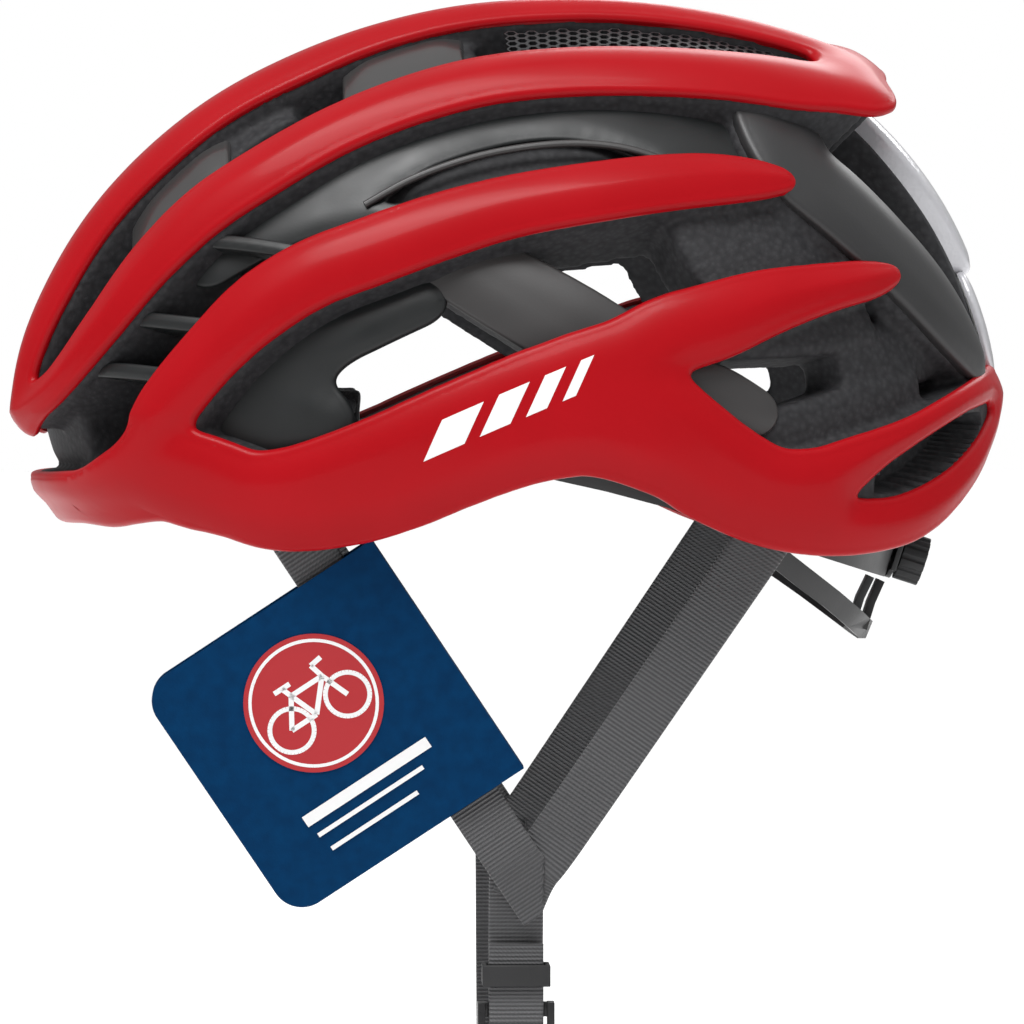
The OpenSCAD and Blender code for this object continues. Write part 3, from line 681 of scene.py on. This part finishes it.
for line, share in ((STRUT, 0.47), (REAR_STRUT, 0.3), (CORNER, 0.36), (CHANNEL, 0.45), (REAR_FILL, 0.4),
                    (FRONT_POCKET, 0.5), (VENT_TRAY, 0.36), (TOP_FILL, 0.36)):
    foam_parts.append(both(web(line, share)))
foam_parts += [web(SPINE, 0.16), web(SILL, 0.3)]
for x, half, share in CROSSBARS:
    foam_parts.append(crossbar(x, half, share))
liner = build("foam_liner", stack(*foam_parts), FOAM, smooth=180)
apply(liner, "REMESH", mode="VOXEL", voxel_size=FOAM_VOXEL * MM, use_smooth_shade=True)
apply(liner, "SMOOTH", factor=0.5, iterations=4)
EYE_SHARE, EYE_MARGIN = 0.55, 0.6
co = np.array([v.co for v in liner.data.vertices]) / MM
pocket = (eye(co) < EYE_MARGIN) & (gauge(co - CENTER, dome_axes(EYE_SHARE, 0, None)) > 1)
co[pocket] = skin(co[pocket], EYE_SHARE)
liner.data.vertices.foreach_set("co", (co * MM).ravel())
liner.data.materials.clear()
liner.data.materials.append(FOAM)
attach(liner, "helmet")
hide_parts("liner")

# ---------------------------------------------------------------- helpers for the trim

def sides(mesh):
    """The right and left halves of a mesh made of mirrored islands."""
    v, f = np.asarray(mesh[0]), [tuple(face) for face in mesh[1]]
    out = []
    for sign in (1, -1):
        part = [face for face in f if v[list(face)][:, 1].mean() * sign > 0]
        used = sorted({i for face in part for i in face})
        index = {old: new for new, old in enumerate(used)}
        out.append((v[used], [tuple(index[i] for i in face) for face in part]))
    return out


def plate_mesh(field, share, thick, rear=None, edge=1.0, crown=0.6, reach=6.0, lift=0.0):
    """A rounded plate that follows the dome at a share of the wall's thickness."""
    def top(q):
        return skin(q, share, lift, rear)

    def bottom(q):
        on = skin(q, share, lift, rear)
        return on - outward(on) * thick
    return slab(field, top, bottom, edge, crown, reach, arcs=4, walls=2, inset=0.2)


def trim(name, line, share, thick, material, slot, nodes=(), cut=None, **shape):
    """Left and right plates along one centreline."""
    field = union([Band(line, share=share)], 1)
    if cut:
        field = less(field, cut, 1.5)
    for side, mesh in zip(("right", "left"), sides(plate_mesh(field, share, thick, **shape))):
        stands_for = [f"{n}_{side}" for n in nodes]
        build(f"{name}_{side}", mesh, material, "helmet", stands_for, smooth=PLATE_SMOOTH)


def sweep(path, half, thick, across=None, normal=(0, 1, 0), step=0.25, rib=0.0, pitch=1.1, corners=6):
    """A ribbon with rounded edges along a path, with its UV in millimetres."""
    s = spline(path, step)
    along = np.gradient(s[:, :3], axis=0)
    along /= np.linalg.norm(along, axis=1)[:, None]
    u = np.tile(arr([across]), (len(s), 1)) if across is not None else np.cross(along, normal)
    u /= np.linalg.norm(u, axis=1)[:, None]
    v = np.cross(u, along)
    length = np.concatenate([[0], np.cumsum(np.linalg.norm(np.diff(s[:, :3], axis=0), axis=1))])
    width = s[:, 3] if s.shape[1] > 3 else np.full(len(s), half)
    swell = 1 + rib * np.sin(2 * math.pi * length / pitch)
    outline = []
    for end in (1, -1):
        for a in np.linspace(-90, 90, corners):
            outline.append((end * math.cos(math.radians(a)), end * math.sin(math.radians(a)), end))
    flat = np.linspace(-1, 1, 9)[1:-1]
    profile = [(x, y, e) for x, y, e in outline[:corners]] + [(None, 1, -t) for t in flat]
    profile += [(x, y, e) for x, y, e in outline[corners:]] + [(None, -1, t) for t in flat]
    rings, uv = [], []
    for x, y, e in profile:
        core = width - thick / 2
        w = core * e if x is None else core * e + x * thick / 2
        rings.append(s[:, :3] + u * np.reshape(w, (-1, 1)) + v * (y * thick / 2 * swell)[:, None])
        uv.append(np.stack([w * np.ones(len(s)), length], 1))
    mesh = loft(np.stack(rings, 1))
    return mesh, np.stack(uv, 1).reshape(-1, 2)


STRAP_HALF, STRAP_T, STRAP_RIB = 7.5, 1.5, 0.14


def strap(name, path, body="helmet", replaces=(), **shape):
    mesh, uv = sweep(path, STRAP_HALF, STRAP_T, rib=STRAP_RIB, **shape)
    return build(name, mesh, WEB, body, replaces, smooth=70, uv=uv)


def polish(node, material, width, body):
    """The node's own shape with its hard edges rounded."""
    source = frame["nodes"][node]
    obj = bpy.data.objects.new(f"{node}_moulded", source.data.copy())
    bpy.context.scene.collection.objects.link(obj)
    bm = bmesh.new()
    bm.from_mesh(obj.data)
    bmesh.ops.remove_doubles(bm, verts=bm.verts, dist=2e-6)
    bmesh.ops.dissolve_limit(bm, angle_limit=math.radians(2), verts=bm.verts, edges=bm.edges)
    bm.to_mesh(obj.data)
    bm.free()
    apply(obj, "BEVEL", width=width * MM, segments=3, limit_method="ANGLE", angle_limit=math.radians(38),
          use_clamp_overlap=True)
    obj.data.materials.clear()
    obj.data.materials.append(material)
    for p in obj.data.polygons:
        p.use_smooth = True
    obj.data.set_sharp_from_angle(angle=math.radians(32))
    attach(obj, body)
    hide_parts(node)


slot_of = {p["node"]: p["material_slot"] for p in frame["record"]["subparts"]}

# ---------------------------------------------------------------- trim in the vents

SLOT = [(-36, 78, 91, 1), (-22, 77, 96, 5), (0, 75, 100.5, 7), (18, 74, 102, 6.4), (35, 73, 100, 1.5)]
FLOOR_SHARE = 0.3
slot_field = union([Band(SLOT, share=FLOOR_SHARE)], 1)
trim("vent_floor", CHANNEL, FLOOR_SHARE, 2.0, SATIN_DARK, "satin_dark", cut=slot_field, edge=1.2, crown=0.8)

# A rounded lip along the slot's upper edge, in the lighter satin grey against the dark vent floor: its
# lighter colour is a painted highlight along the rim.
ARCH = [(-43, 78, 89), (-30, 77.5, 97.5), (-14, 76, 103.5), (2, 75, 107.4), (18, 74, 108.6), (32, 73, 106),
        (44, 72, 100)]
arch = [tuple(p) for p in skin(ARCH, FLOOR_SHARE, 0.4)]
for side, sign in (("left", -1), ("right", 1)):
    lip, _ = sweep([(x, y * sign, z) for x, y, z in arch], 1.1, 1.6, normal=(0, 0.9 * sign, 0.4), step=1)
    build(f"slot_lip_painted_highlight_{side}", lip, SATIN, "helmet", smooth=60)

trim("satin_strut", STRUT, 0.4, 2.2, SATIN, "satin_grey", ["side_bridge"], edge=1.4, crown=1.2, reach=9)
trim("satin_corner", CORNER, 0.28, 2.2, SATIN, "satin_grey", ["vent_plate"], edge=1.2, crown=0.8)
trim("rear_cover", PILLAR, 0.06, 5.0, PANEL, "satin_dark", ["rear_panel"], edge=2.0, crown=1.2, reach=8)
POCKET_HOOD = [(-84, 80, 40, 9), (-66, 86, 48, 10), (-48, 90, 55, 8), (-28, 91, 63, 7)]
pocket_field = union([Band(FRONT_POCKET, share=0.4), Band(POCKET_HOOD, share=0.4)], 14)
for side, mesh in zip(("right", "left"), sides(plate_mesh(pocket_field, 0.4, 2.4, edge=1.6, crown=1.0))):
    build(f"front_pocket_{side}", mesh, SATIN_DARK, "helmet", smooth=PLATE_SMOOTH)
for i, line in enumerate(SLATS):
    trim(f"louver_{i + 1}", line, 0.16, 14.0, SATIN_DARK, "satin_dark", edge=0.9, crown=0.4, reach=2)


BRIDGE_REACH = 62  # each bridge ends under the middle of the outer crown ribs


BRIDGE_SHARE = 0.17


def bridge(name, x, half, node):
    def field(q):
        across = np.abs(q[:, 1]) - BRIDGE_REACH
        along = np.maximum(np.abs(q[:, 0] - x) - half, CENTER[2] - q[:, 2])
        return -smooth_min(-across, -along, 4)
    mesh = plate_mesh(field, BRIDGE_SHARE, 2.4, TAIL_REAR, edge=1.6, crown=1.4, reach=8)
    build(name, mesh, GLOSS_DARK, "helmet", [node], smooth=PLATE_SMOOTH)


bridge("gloss_bridge_front", -92, 14, "crown_bridge_front")
bridge("gloss_bridge_middle", -30, 17, "crown_bridge_middle")


CELL, CELL_WALL, MESH_T = 3.5, 0.55, 1.0
MESH_X, MESH_Y = (0, 110), (-60, 60)
ABOVE = 140.0


def honeycomb(field, share):
    """Hexagonal cells joined into one pierced sheet over the region of field, seen from above."""
    verts, faces, index = [], [], {}
    row = CELL * math.sqrt(3) / 2

    def vert(x, y, level):
        key = (round(x, 3), round(y, 3), level)
        if key not in index:
            index[key] = len(verts)
            verts.append((x, y, level))
        return index[key]

    walls = {}
    centers = [(MESH_X[0] + i * row, MESH_Y[0] + (j + (i % 2) / 2) * CELL)
               for i in range(int((MESH_X[1] - MESH_X[0]) / row))
               for j in range(int((MESH_Y[1] - MESH_Y[0]) / CELL))]
    inside = field(skin([(x, y, ABOVE) for x, y in centers], share, 0, TAIL_REAR)) < 0
    ring = [(math.cos(math.radians(60 * k)), math.sin(math.radians(60 * k))) for k in range(6)]
    outer_r, inner_r = CELL / math.sqrt(3), CELL / math.sqrt(3) - CELL_WALL
    for (x, y), keep in zip(centers, inside):
        if not keep:
            continue
        o = [[vert(x + c * outer_r, y + s * outer_r, level) for c, s in ring] for level in (0, 1)]
        n = [[vert(x + c * inner_r, y + s * inner_r, level) for c, s in ring] for level in (0, 1)]
        for k in range(6):
            m = (k + 1) % 6
            faces.append((o[0][k], o[0][m], n[0][m], n[0][k]))
            faces.append((o[1][m], o[1][k], n[1][k], n[1][m]))
            faces.append((n[0][k], n[0][m], n[1][m], n[1][k]))
            key = tuple(sorted((o[0][k], o[0][m])))
            walls.setdefault(key, []).append((o[0][k], o[0][m], o[1][m], o[1][k]))
    faces += [quads[0][::-1] for quads in walls.values() if len(quads) == 1]
    v = np.array(verts, float)
    on = skin(np.stack([v[:, 0], v[:, 1], np.full(len(v), ABOVE)], 1), share, 0, TAIL_REAR)
    on -= outward(on) * (v[:, 2] * MESH_T)[:, None]
    return on, faces


MESH_SIDE = [(0, 43, 128, 8), (30, 41, 130, 8.5), (55, 39, 130, 8.5), (84, 35, 126, 8)]
MESH_MIDDLE = [(-6, 0, 145, 17), (40, 0, 147, 16), (88, 0, 138, 13)]
SIDE_SHARE, MIDDLE_SHARE = 0.17, 0.2
side_mesh = honeycomb(union([Band(MESH_SIDE, TAIL_REAR, SIDE_SHARE)], 1), SIDE_SHARE)
middle_mesh = honeycomb(union([Band(MESH_MIDDLE, TAIL_REAR, MIDDLE_SHARE)], 1), MIDDLE_SHARE)
for side, mesh in zip(("right", "left", "center"), [*sides(side_mesh), middle_mesh]):
    build(f"honeycomb_{side}", mesh, MESH, "helmet", [f"mesh_{side}"], smooth=30)

REFLECTOR = [(101, 0, 113, 9), (110, 0, 102, 12), (119, 0, 90, 12), (127, 0, 74, 8)]
LOW_REFLECTOR = [(133, 0, 60, 11), (136, 0, 53, 13), (138, 0, 47, 12)]
upper_film = plate_mesh(union([Band(REFLECTOR)], 1), 0, 15, edge=2.4, crown=1.2, lift=2.0)
lower_film = plate_mesh(union([Band(LOW_REFLECTOR)], 1), 0.04, 3, edge=1.4, crown=0.8)
build("tail_film_upper", upper_film, FILM, "helmet", ["rear_reflector"], smooth=PLATE_SMOOTH)
build("tail_film_lower", lower_film, FILM, "helmet", ["tail_reflector"], smooth=PLATE_SMOOTH)

# ---------------------------------------------------------------- mark on the band


def on_shell(points, field, lift):
    """Points on the crowned face of a shell, a little above the lacquer."""
    on = skin(points)
    depth = np.clip(-field(on), 0, None)
    return on + outward(on) * (lift - sink(depth))[:, None]


def tick(x, z, width, height, lean, rise, side):
    """A slanted bar printed on the band, as a thin closed film."""
    a, b = np.meshgrid(np.linspace(0, 1, 7), np.linspace(0, 1, 9), indexing="ij")
    px = x + a * width + (b - 0.5) * lean
    pz = z + a * width * rise + (b - 0.5) * height
    flat = np.stack([px.ravel(), np.full(px.size, 98.0), pz.ravel()], 1)
    rings = [on_shell(flat, lower_field, lift) * [1, side, 1] for lift in (0.10, -0.25)]
    cols = b.shape[1]
    idx = np.arange(px.size).reshape(a.shape)
    faces = []
    for i in range(a.shape[0] - 1):
        for j in range(cols - 1):
            quad = (idx[i, j], idx[i + 1, j], idx[i + 1, j + 1], idx[i, j + 1])
            faces += [quad, tuple(k + px.size for k in quad[::-1])]
    loop = list(idx[:, 0]) + list(idx[-1, 1:]) + list(idx[-2::-1, -1]) + list(idx[0, -2:0:-1])
    for p, q in zip(loop, loop[1:] + loop[:1]):
        faces.append((q, p, p + px.size, q + px.size))
    return np.vstack(rings), faces


for side, sign in (("left", -1), ("right", 1)):
    bars = [tick(x, z, width, 11, 5, 0.43, sign) for x, z, width in
            ((-22, 22, 11), (-7, 28.5, 8), (5, 33.6, 5.5), (14.5, 37.7, 3.5))]
    build(f"speed_ticks_{side}", stack(*bars), WHITE, "helmet", smooth=60)

# ---------------------------------------------------------------- webbing

FRONT_EXIT, REAR_EXIT = np.array([-60, 80, -2.0]), np.array([69.5, 78, -2.0])
FRONT_LAP, REAR_LAP = np.array([-4.5, 71.2, -86.0]), np.array([12, 69, -86.5])
HIDDEN = 7.5  # the length of each leg inside the foam
TRIM_X, TRIM_SLOPE = 8.4, 1.5  # the front legs are cut off along the edge of the strap below them


def leg(start, lap, ends):
    up = start + (start - lap) / np.linalg.norm(start - lap) * HIDDEN
    return [tuple(p) for p in (up, start, (start + lap) / 2, lap)] + ends


def mirrored(path, side):
    return [(x, y * side, z) for x, y, z in path]


front_leg = leg(FRONT_EXIT, FRONT_LAP, [(2.6, 68.9, -96.6), (9.2, 66.2, -106.6)])
rear_leg = leg(REAR_EXIT, REAR_LAP, [(5, 67.3, -96), (1.4, 64.9, -104)])
for side, sign in (("left", -1), ("right", 1)):
    lapped = strap(f"front_webbing_{side}", mirrored(front_leg, sign), replaces=[f"front_strap_{side}"])
    for v in lapped.data.vertices:
        past = max(0.0, v.co.x - TRIM_X * MM)
        v.co.x -= past
        v.co.z += past * TRIM_SLOPE
    strap(f"rear_webbing_{side}", mirrored(rear_leg, sign), replaces=[f"rear_strap_{side}"])

STRAP_X = 1  # the strap below the lap hangs in this plane
JAW = [(-65.7, -96), (-63.2, -104), (-61.5, -110), (-60.6, -117), (-60.2, -126), (-60.2, -135.6),
       (-60.9, -138.2), (-62.2, -139), (-63.5, -138.2), (-64.2, -135.6), (-64.2, -126), (-64, -120),
       (-64.1, -116)]
CHIN = [(-64.6, -166.7), (-57.4, -166.8), (-54, -171.6), (-47, -181.4), (-34, -188.6), (-12, -192.4),
        (14, -190.4), (36, -179), (51, -157), (59, -130), (62, -110), (65.6, -97)]
strap("jaw_webbing", [(STRAP_X, y, z) for y, z in JAW], across=(1, 0, 0), replaces=["jaw_strap_left"])
strap("chin_webbing", [(STRAP_X, y, z) for y, z in CHIN], "chin", ["chin_strap"], across=(1, 0, 0))

# ---------------------------------------------------------------- soft pads


PRESSURE, FRAMES, FILL = 4, 20, 0.7


def puffed(name, mesh, node, body="helmet", cap=1.6, voxel=2.2):
    """A foam pad under knitted cloth, swollen by a short cloth simulation but by no more than cap."""
    pad = build(name, mesh, PAD, smooth=180)
    apply(pad, "REMESH", mode="VOXEL", voxel_size=voxel * MM, use_smooth_shade=True)
    rest = np.array([v.co for v in pad.data.vertices])
    cloth = pad.modifiers.new("Cloth", "CLOTH")
    cloth.settings.use_pressure = True
    cloth.settings.uniform_pressure_force = PRESSURE
    cloth.settings.effector_weights.gravity = 0
    scene = bpy.context.scene
    for number in range(1, FRAMES + 1):
        scene.frame_set(number)
    swollen = pad.evaluated_get(bpy.context.evaluated_depsgraph_get()).to_mesh()
    moved = np.array([v.co for v in swollen.vertices]) - rest
    pad.modifiers.remove(cloth)
    scene.frame_set(1)
    reach = np.linalg.norm(moved, axis=1)
    rest = rest + moved * np.minimum(1, cap * MM / np.maximum(reach, 1e-9))[:, None]
    pad.data.vertices.foreach_set("co", rest.ravel())
    apply(pad, "SMOOTH", factor=0.5, iterations=3)
    apply(pad, "SUBSURF", levels=1)
    pad.data.materials.clear()
    pad.data.materials.append(PAD)
    for p in pad.data.polygons:
        p.use_smooth = True
    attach(pad, body)
    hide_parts(node)


PAD_SETBACK, PAD_GAP, PAD_DEPTH = 1.4, 1.4, 5.0


def inside_pad(line):
    """A pad on the inner face of the foam."""
    return band_solid(narrowed(line, PAD_SETBACK), 1, -PAD_GAP, 1, -PAD_DEPTH, round_=0.5)


def steps(first, last, by):
    """The angles from first to last degrees, in radians."""
    return [math.radians(a) for a in range(first, last + 1, by)]


BROW = [(10 - 145 * math.cos(a), 100 * math.sin(a), 30, 13) for a in steps(-63, 63, 9)]
MIDDLE = [(10 + 140 * math.sin(a), 0, 20 + 120 * math.cos(a), 12) for a in steps(-66, 42, 12)]
SIDE = [(10 + 130 * math.sin(a), 55, 20 + 100 * math.cos(a), 11) for a in steps(-60, 48, 12)]
puffed("brow_cushion", inside_pad(BROW), "brow_pad")
puffed("crown_cushion_center", inside_pad(MIDDLE), "crown_pad_center")
puffed("crown_cushion_right", inside_pad(SIDE), "crown_pad_right")
puffed("crown_cushion_left", flip_y(inside_pad(SIDE)), "crown_pad_left")
CHIN_PAD = [(-34, -187.4), (-24, -189.6), (-12, -191), (0, -190.6), (14, -189), (24, -184.4), (34, -178.6)]
CHIN_PAD_HALF, CHIN_PAD_T = 9, 2.6
chin_path = [(STRAP_X, y, z + CHIN_PAD_T) for y, z in CHIN_PAD]
chin_mesh, _ = sweep(chin_path, CHIN_PAD_HALF, CHIN_PAD_T, across=(1, 0, 0), step=2)
puffed("chin_cushion", chin_mesh, "chin_pad", body="chin", cap=0.6, voxel=1.4)

CRADLE = Matrix.Translation((44, 0, 10.5)) @ Matrix.Rotation(math.radians(18), 4, "Y")
NAPE_R, NAPE_HALF = (62.2, 64.4), 5.4


def nape_pad(a0, a1):
    """A flat cushion inside the channel, between two angles round the head."""
    near, far = NAPE_R
    corners = [(near, -NAPE_HALF), (near, 0), (near, NAPE_HALF),
               (far, NAPE_HALF), (far, 0), (far, -NAPE_HALF)]
    rings = [[CRADLE @ Vector((r * math.cos(a), r * math.sin(a), z)) for r, z in corners]
             for a in np.radians(np.linspace(a0, a1, 9))]
    return loft(np.array(rings))


nape_mesh = stack(nape_pad(-34, -12), nape_pad(12, 34))
puffed("nape_cushions", nape_mesh, "nape_pads", body="retention", cap=0.5, voxel=0.9)

# ---------------------------------------------------------------- moulded parts with rounded edges

for node, material, width, body in (
        ("buckle_male", ACETAL, 0.4, "helmet"), ("buckle_female", ACETAL, 0.6, "chin"),
        ("strap_keeper", RUBBER, 0.5, "keeper"), ("dial_housing", BLACK, 0.4, "retention"),
        ("dial_knob", RUBBER, 0.3, "dial"), ("height_track", BLACK, 0.3, "helmet"),
        ("nape_support", BLACK, 0.4, "retention"), ("headband_left", BLACK, 0.4, "retention"),
        ("headband_right", BLACK, 0.4, "retention"), ("height_strip", BLACK, 0.3, "retention")):
    polish(node, material, width, body)

# ---------------------------------------------------------------- hang card


CARD_PLACE = (Matrix.Translation((-49.3, -74.6, -56.3)) @ Matrix.Rotation(math.radians(6), 4, "X")
              @ Matrix.Rotation(math.radians(-33.5), 4, "Y"))


def card_place(points):
    """Millimetres on the card's near leaf to the frame: x along the fold's normal, z up the card."""
    return np.array([CARD_PLACE @ Vector(p) for p in points])


CARD_FACE, FILM_BACK = -2.98, 0.2


def printed(outlines, depth):
    """Flat shapes on the card as thin closed films; each outline runs round once."""
    meshes = []
    for outline in outlines:
        n = len(outline)
        near = [(x, CARD_FACE - depth, z) for x, z in outline]
        far = [(x, CARD_FACE + FILM_BACK, z) for x, z in outline]
        walls = [(i, (i + 1) % n, n + (i + 1) % n, n + i) for i in range(n)]
        meshes.append((card_place(near + far), [tuple(range(n))[::-1], tuple(range(n, 2 * n))] + walls))
    return stack(*meshes)


def disc(x, z, r, n):
    return [(x + r * math.cos(2 * math.pi * i / n), z + r * math.sin(2 * math.pi * i / n)) for i in range(n)]


def stroke(a, b, w):
    """A straight bar from a to b, w wide."""
    a, b = Vector(a), Vector(b)
    side = (b - a).normalized().orthogonal() * w / 2
    return [tuple(p) for p in (a + side, b + side, b - side, a - side)]


def hoop(x, z, r, w, n=40):
    """A ring as short strokes."""
    p = disc(x, z, r, n)
    return [stroke(a, b, w) for a, b in zip(p, p[1:] + p[:1])]


BADGE_Z = 9
build("card_badge", printed([disc(0, BADGE_Z, 19, 64)], 0.05), RED_INK, "helmet", smooth=20)
REAR_HUB, FRONT_HUB, CRANK, SEAT, HEAD, STEM = (-9, 4), (9, 4), (-1, 4), (-4, 12), (6, 12), (5, 16)
icon = hoop(*REAR_HUB, 6, 1.3) + hoop(*FRONT_HUB, 6, 1.3)
for a, b in ((REAR_HUB, SEAT), (REAR_HUB, CRANK), (SEAT, CRANK), (CRANK, HEAD), (SEAT, HEAD),
             (HEAD, FRONT_HUB), (HEAD, STEM), (STEM, (8.5, 16.5)), (SEAT, (-5, 15)),
             ((-7.5, 15), (-2.5, 15))):
    icon.append(stroke(a, b, 1.4))
icon = [[(x, z + 2) for x, z in shape] for shape in icon] + hoop(0, BADGE_Z, 17.2, 0.9, 64)
build("card_icon", printed(icon, 0.10), WHITE, "helmet", smooth=20)
rules = [stroke((-20 + i, -17 - 5 * i), (20 - 5 * i, -17 - 5 * i), w) for i, w in enumerate((3.2, 1.2, 1.2))]
build("card_rules", printed(rules, 0.08), WHITE, "helmet", smooth=20)

# ---------------------------------------------------------------- materials of the CAD pieces still shown

finish_of = {"red_shell": RED, "foam": FOAM, "cage": CAGE, "satin_grey": SATIN, "satin_dark": SATIN_DARK,
             "mesh": MESH, "reflector": FILM, "pad": PAD, "hard_black": BLACK, "gloss_black": ACETAL,
             "webbing": WEB, "keeper": RUBBER, "steel": STEEL, "card": CARD}
for name, obj in frame["nodes"].items():
    obj.data.materials.clear()
    obj.data.materials.append(finish_of[slot_of[name]])

# ---------------------------------------------------------------- stage, light and camera


AIM = Vector((0, 0, 0.02))


def aimed(kind, name, place, power):
    light = bpy.data.lights.new(name, kind)
    light.energy = power
    obj = bpy.data.objects.new(name, light)
    obj.location = place
    obj.rotation_euler = (AIM - Vector(place)).to_track_quat("-Z", "Y").to_euler()
    bpy.context.scene.collection.objects.link(obj)
    return light


def softbox(name, place, size, power):
    light = aimed("AREA", name, place, power)
    light.shape = "RECTANGLE"
    light.size, light.size_y = size


FLOOR_DROP = 26  # leaves room for the released half of the buckle
floor_z = cad_box[0][2] / MM - FLOOR_DROP
FLOOR_HALF = 12000
corners = [(x * FLOOR_HALF, y * FLOOR_HALF, floor_z) for x, y in ((-1, -1), (1, -1), (1, 1), (-1, 1))]
floor_mat = Shader("pale_floor", (0.95, 0.95, 0.95), 0.95, Specular_IOR_Level=0.1).mat
floor = build("floor", (corners, [(0, 1, 2, 3)]), floor_mat, smooth=180)


def studio():
    """White for the camera, and a softer overhead wash for the light it casts."""
    world = bpy.data.worlds.new("studio")
    bpy.context.scene.world = world
    world.use_nodes = True
    tree = world.node_tree
    out, seen = tree.nodes["World Output"], tree.nodes["Background"]
    seen.inputs["Color"].default_value = (1, 1, 1, 1)
    seen.inputs["Strength"].default_value = 1.0
    cast = tree.nodes.new("ShaderNodeBackground")
    place = tree.nodes.new("ShaderNodeTexCoord")
    split = tree.nodes.new("ShaderNodeSeparateXYZ")
    wash = tree.nodes.new("ShaderNodeMapRange")
    for key, value in zip(("From Min", "From Max", "To Min", "To Max"), (-0.2, 1.0, 0.22, 0.80)):
        wash.inputs[key].default_value = value
    path, mix = tree.nodes.new("ShaderNodeLightPath"), tree.nodes.new("ShaderNodeMixShader")
    link = tree.links.new
    link(place.outputs["Generated"], split.inputs["Vector"])
    link(split.outputs["Z"], wash.inputs["Value"])
    link(wash.outputs["Result"], cast.inputs["Strength"])
    link(path.outputs["Is Camera Ray"], mix.inputs["Fac"])
    link(cast.outputs["Background"], mix.inputs[1])
    link(seen.outputs["Background"], mix.inputs[2])
    link(mix.outputs["Shader"], out.inputs["Surface"])


studio()
sun = aimed("SUN", "soft_sun", (-0.4, -0.8, 1.6), 2.1)
sun.angle = math.radians(35)
softbox("key", (-0.25, -0.6, 1.3), (1.2, 0.25), 5)
softbox("rim", (0.5, 1.1, 0.9), (1.0, 0.6), 8)
bpy.context.scene.view_settings.view_transform = "Standard"

CAMERA_DISTANCE, FRAME_WIDTH = 1.6, 0.28
camera = bpy.data.objects.new("camera", bpy.data.cameras.new("camera"))
turn, lift = math.radians(-2.0), math.radians(1.5)
target = Vector((0, -0.06, 0.002))
direction = Vector((math.sin(turn) * math.cos(lift), -math.cos(turn) * math.cos(lift), math.sin(lift)))
camera.location = target + direction * CAMERA_DISTANCE
camera.rotation_euler = (-direction).to_track_quat("-Z", "Y").to_euler()
camera.data.sensor_width = 36
camera.data.lens = 36 * CAMERA_DISTANCE / FRAME_WIDTH
camera.data.clip_end = 50
bpy.context.scene.collection.objects.link(camera)
bpy.context.scene.camera = camera
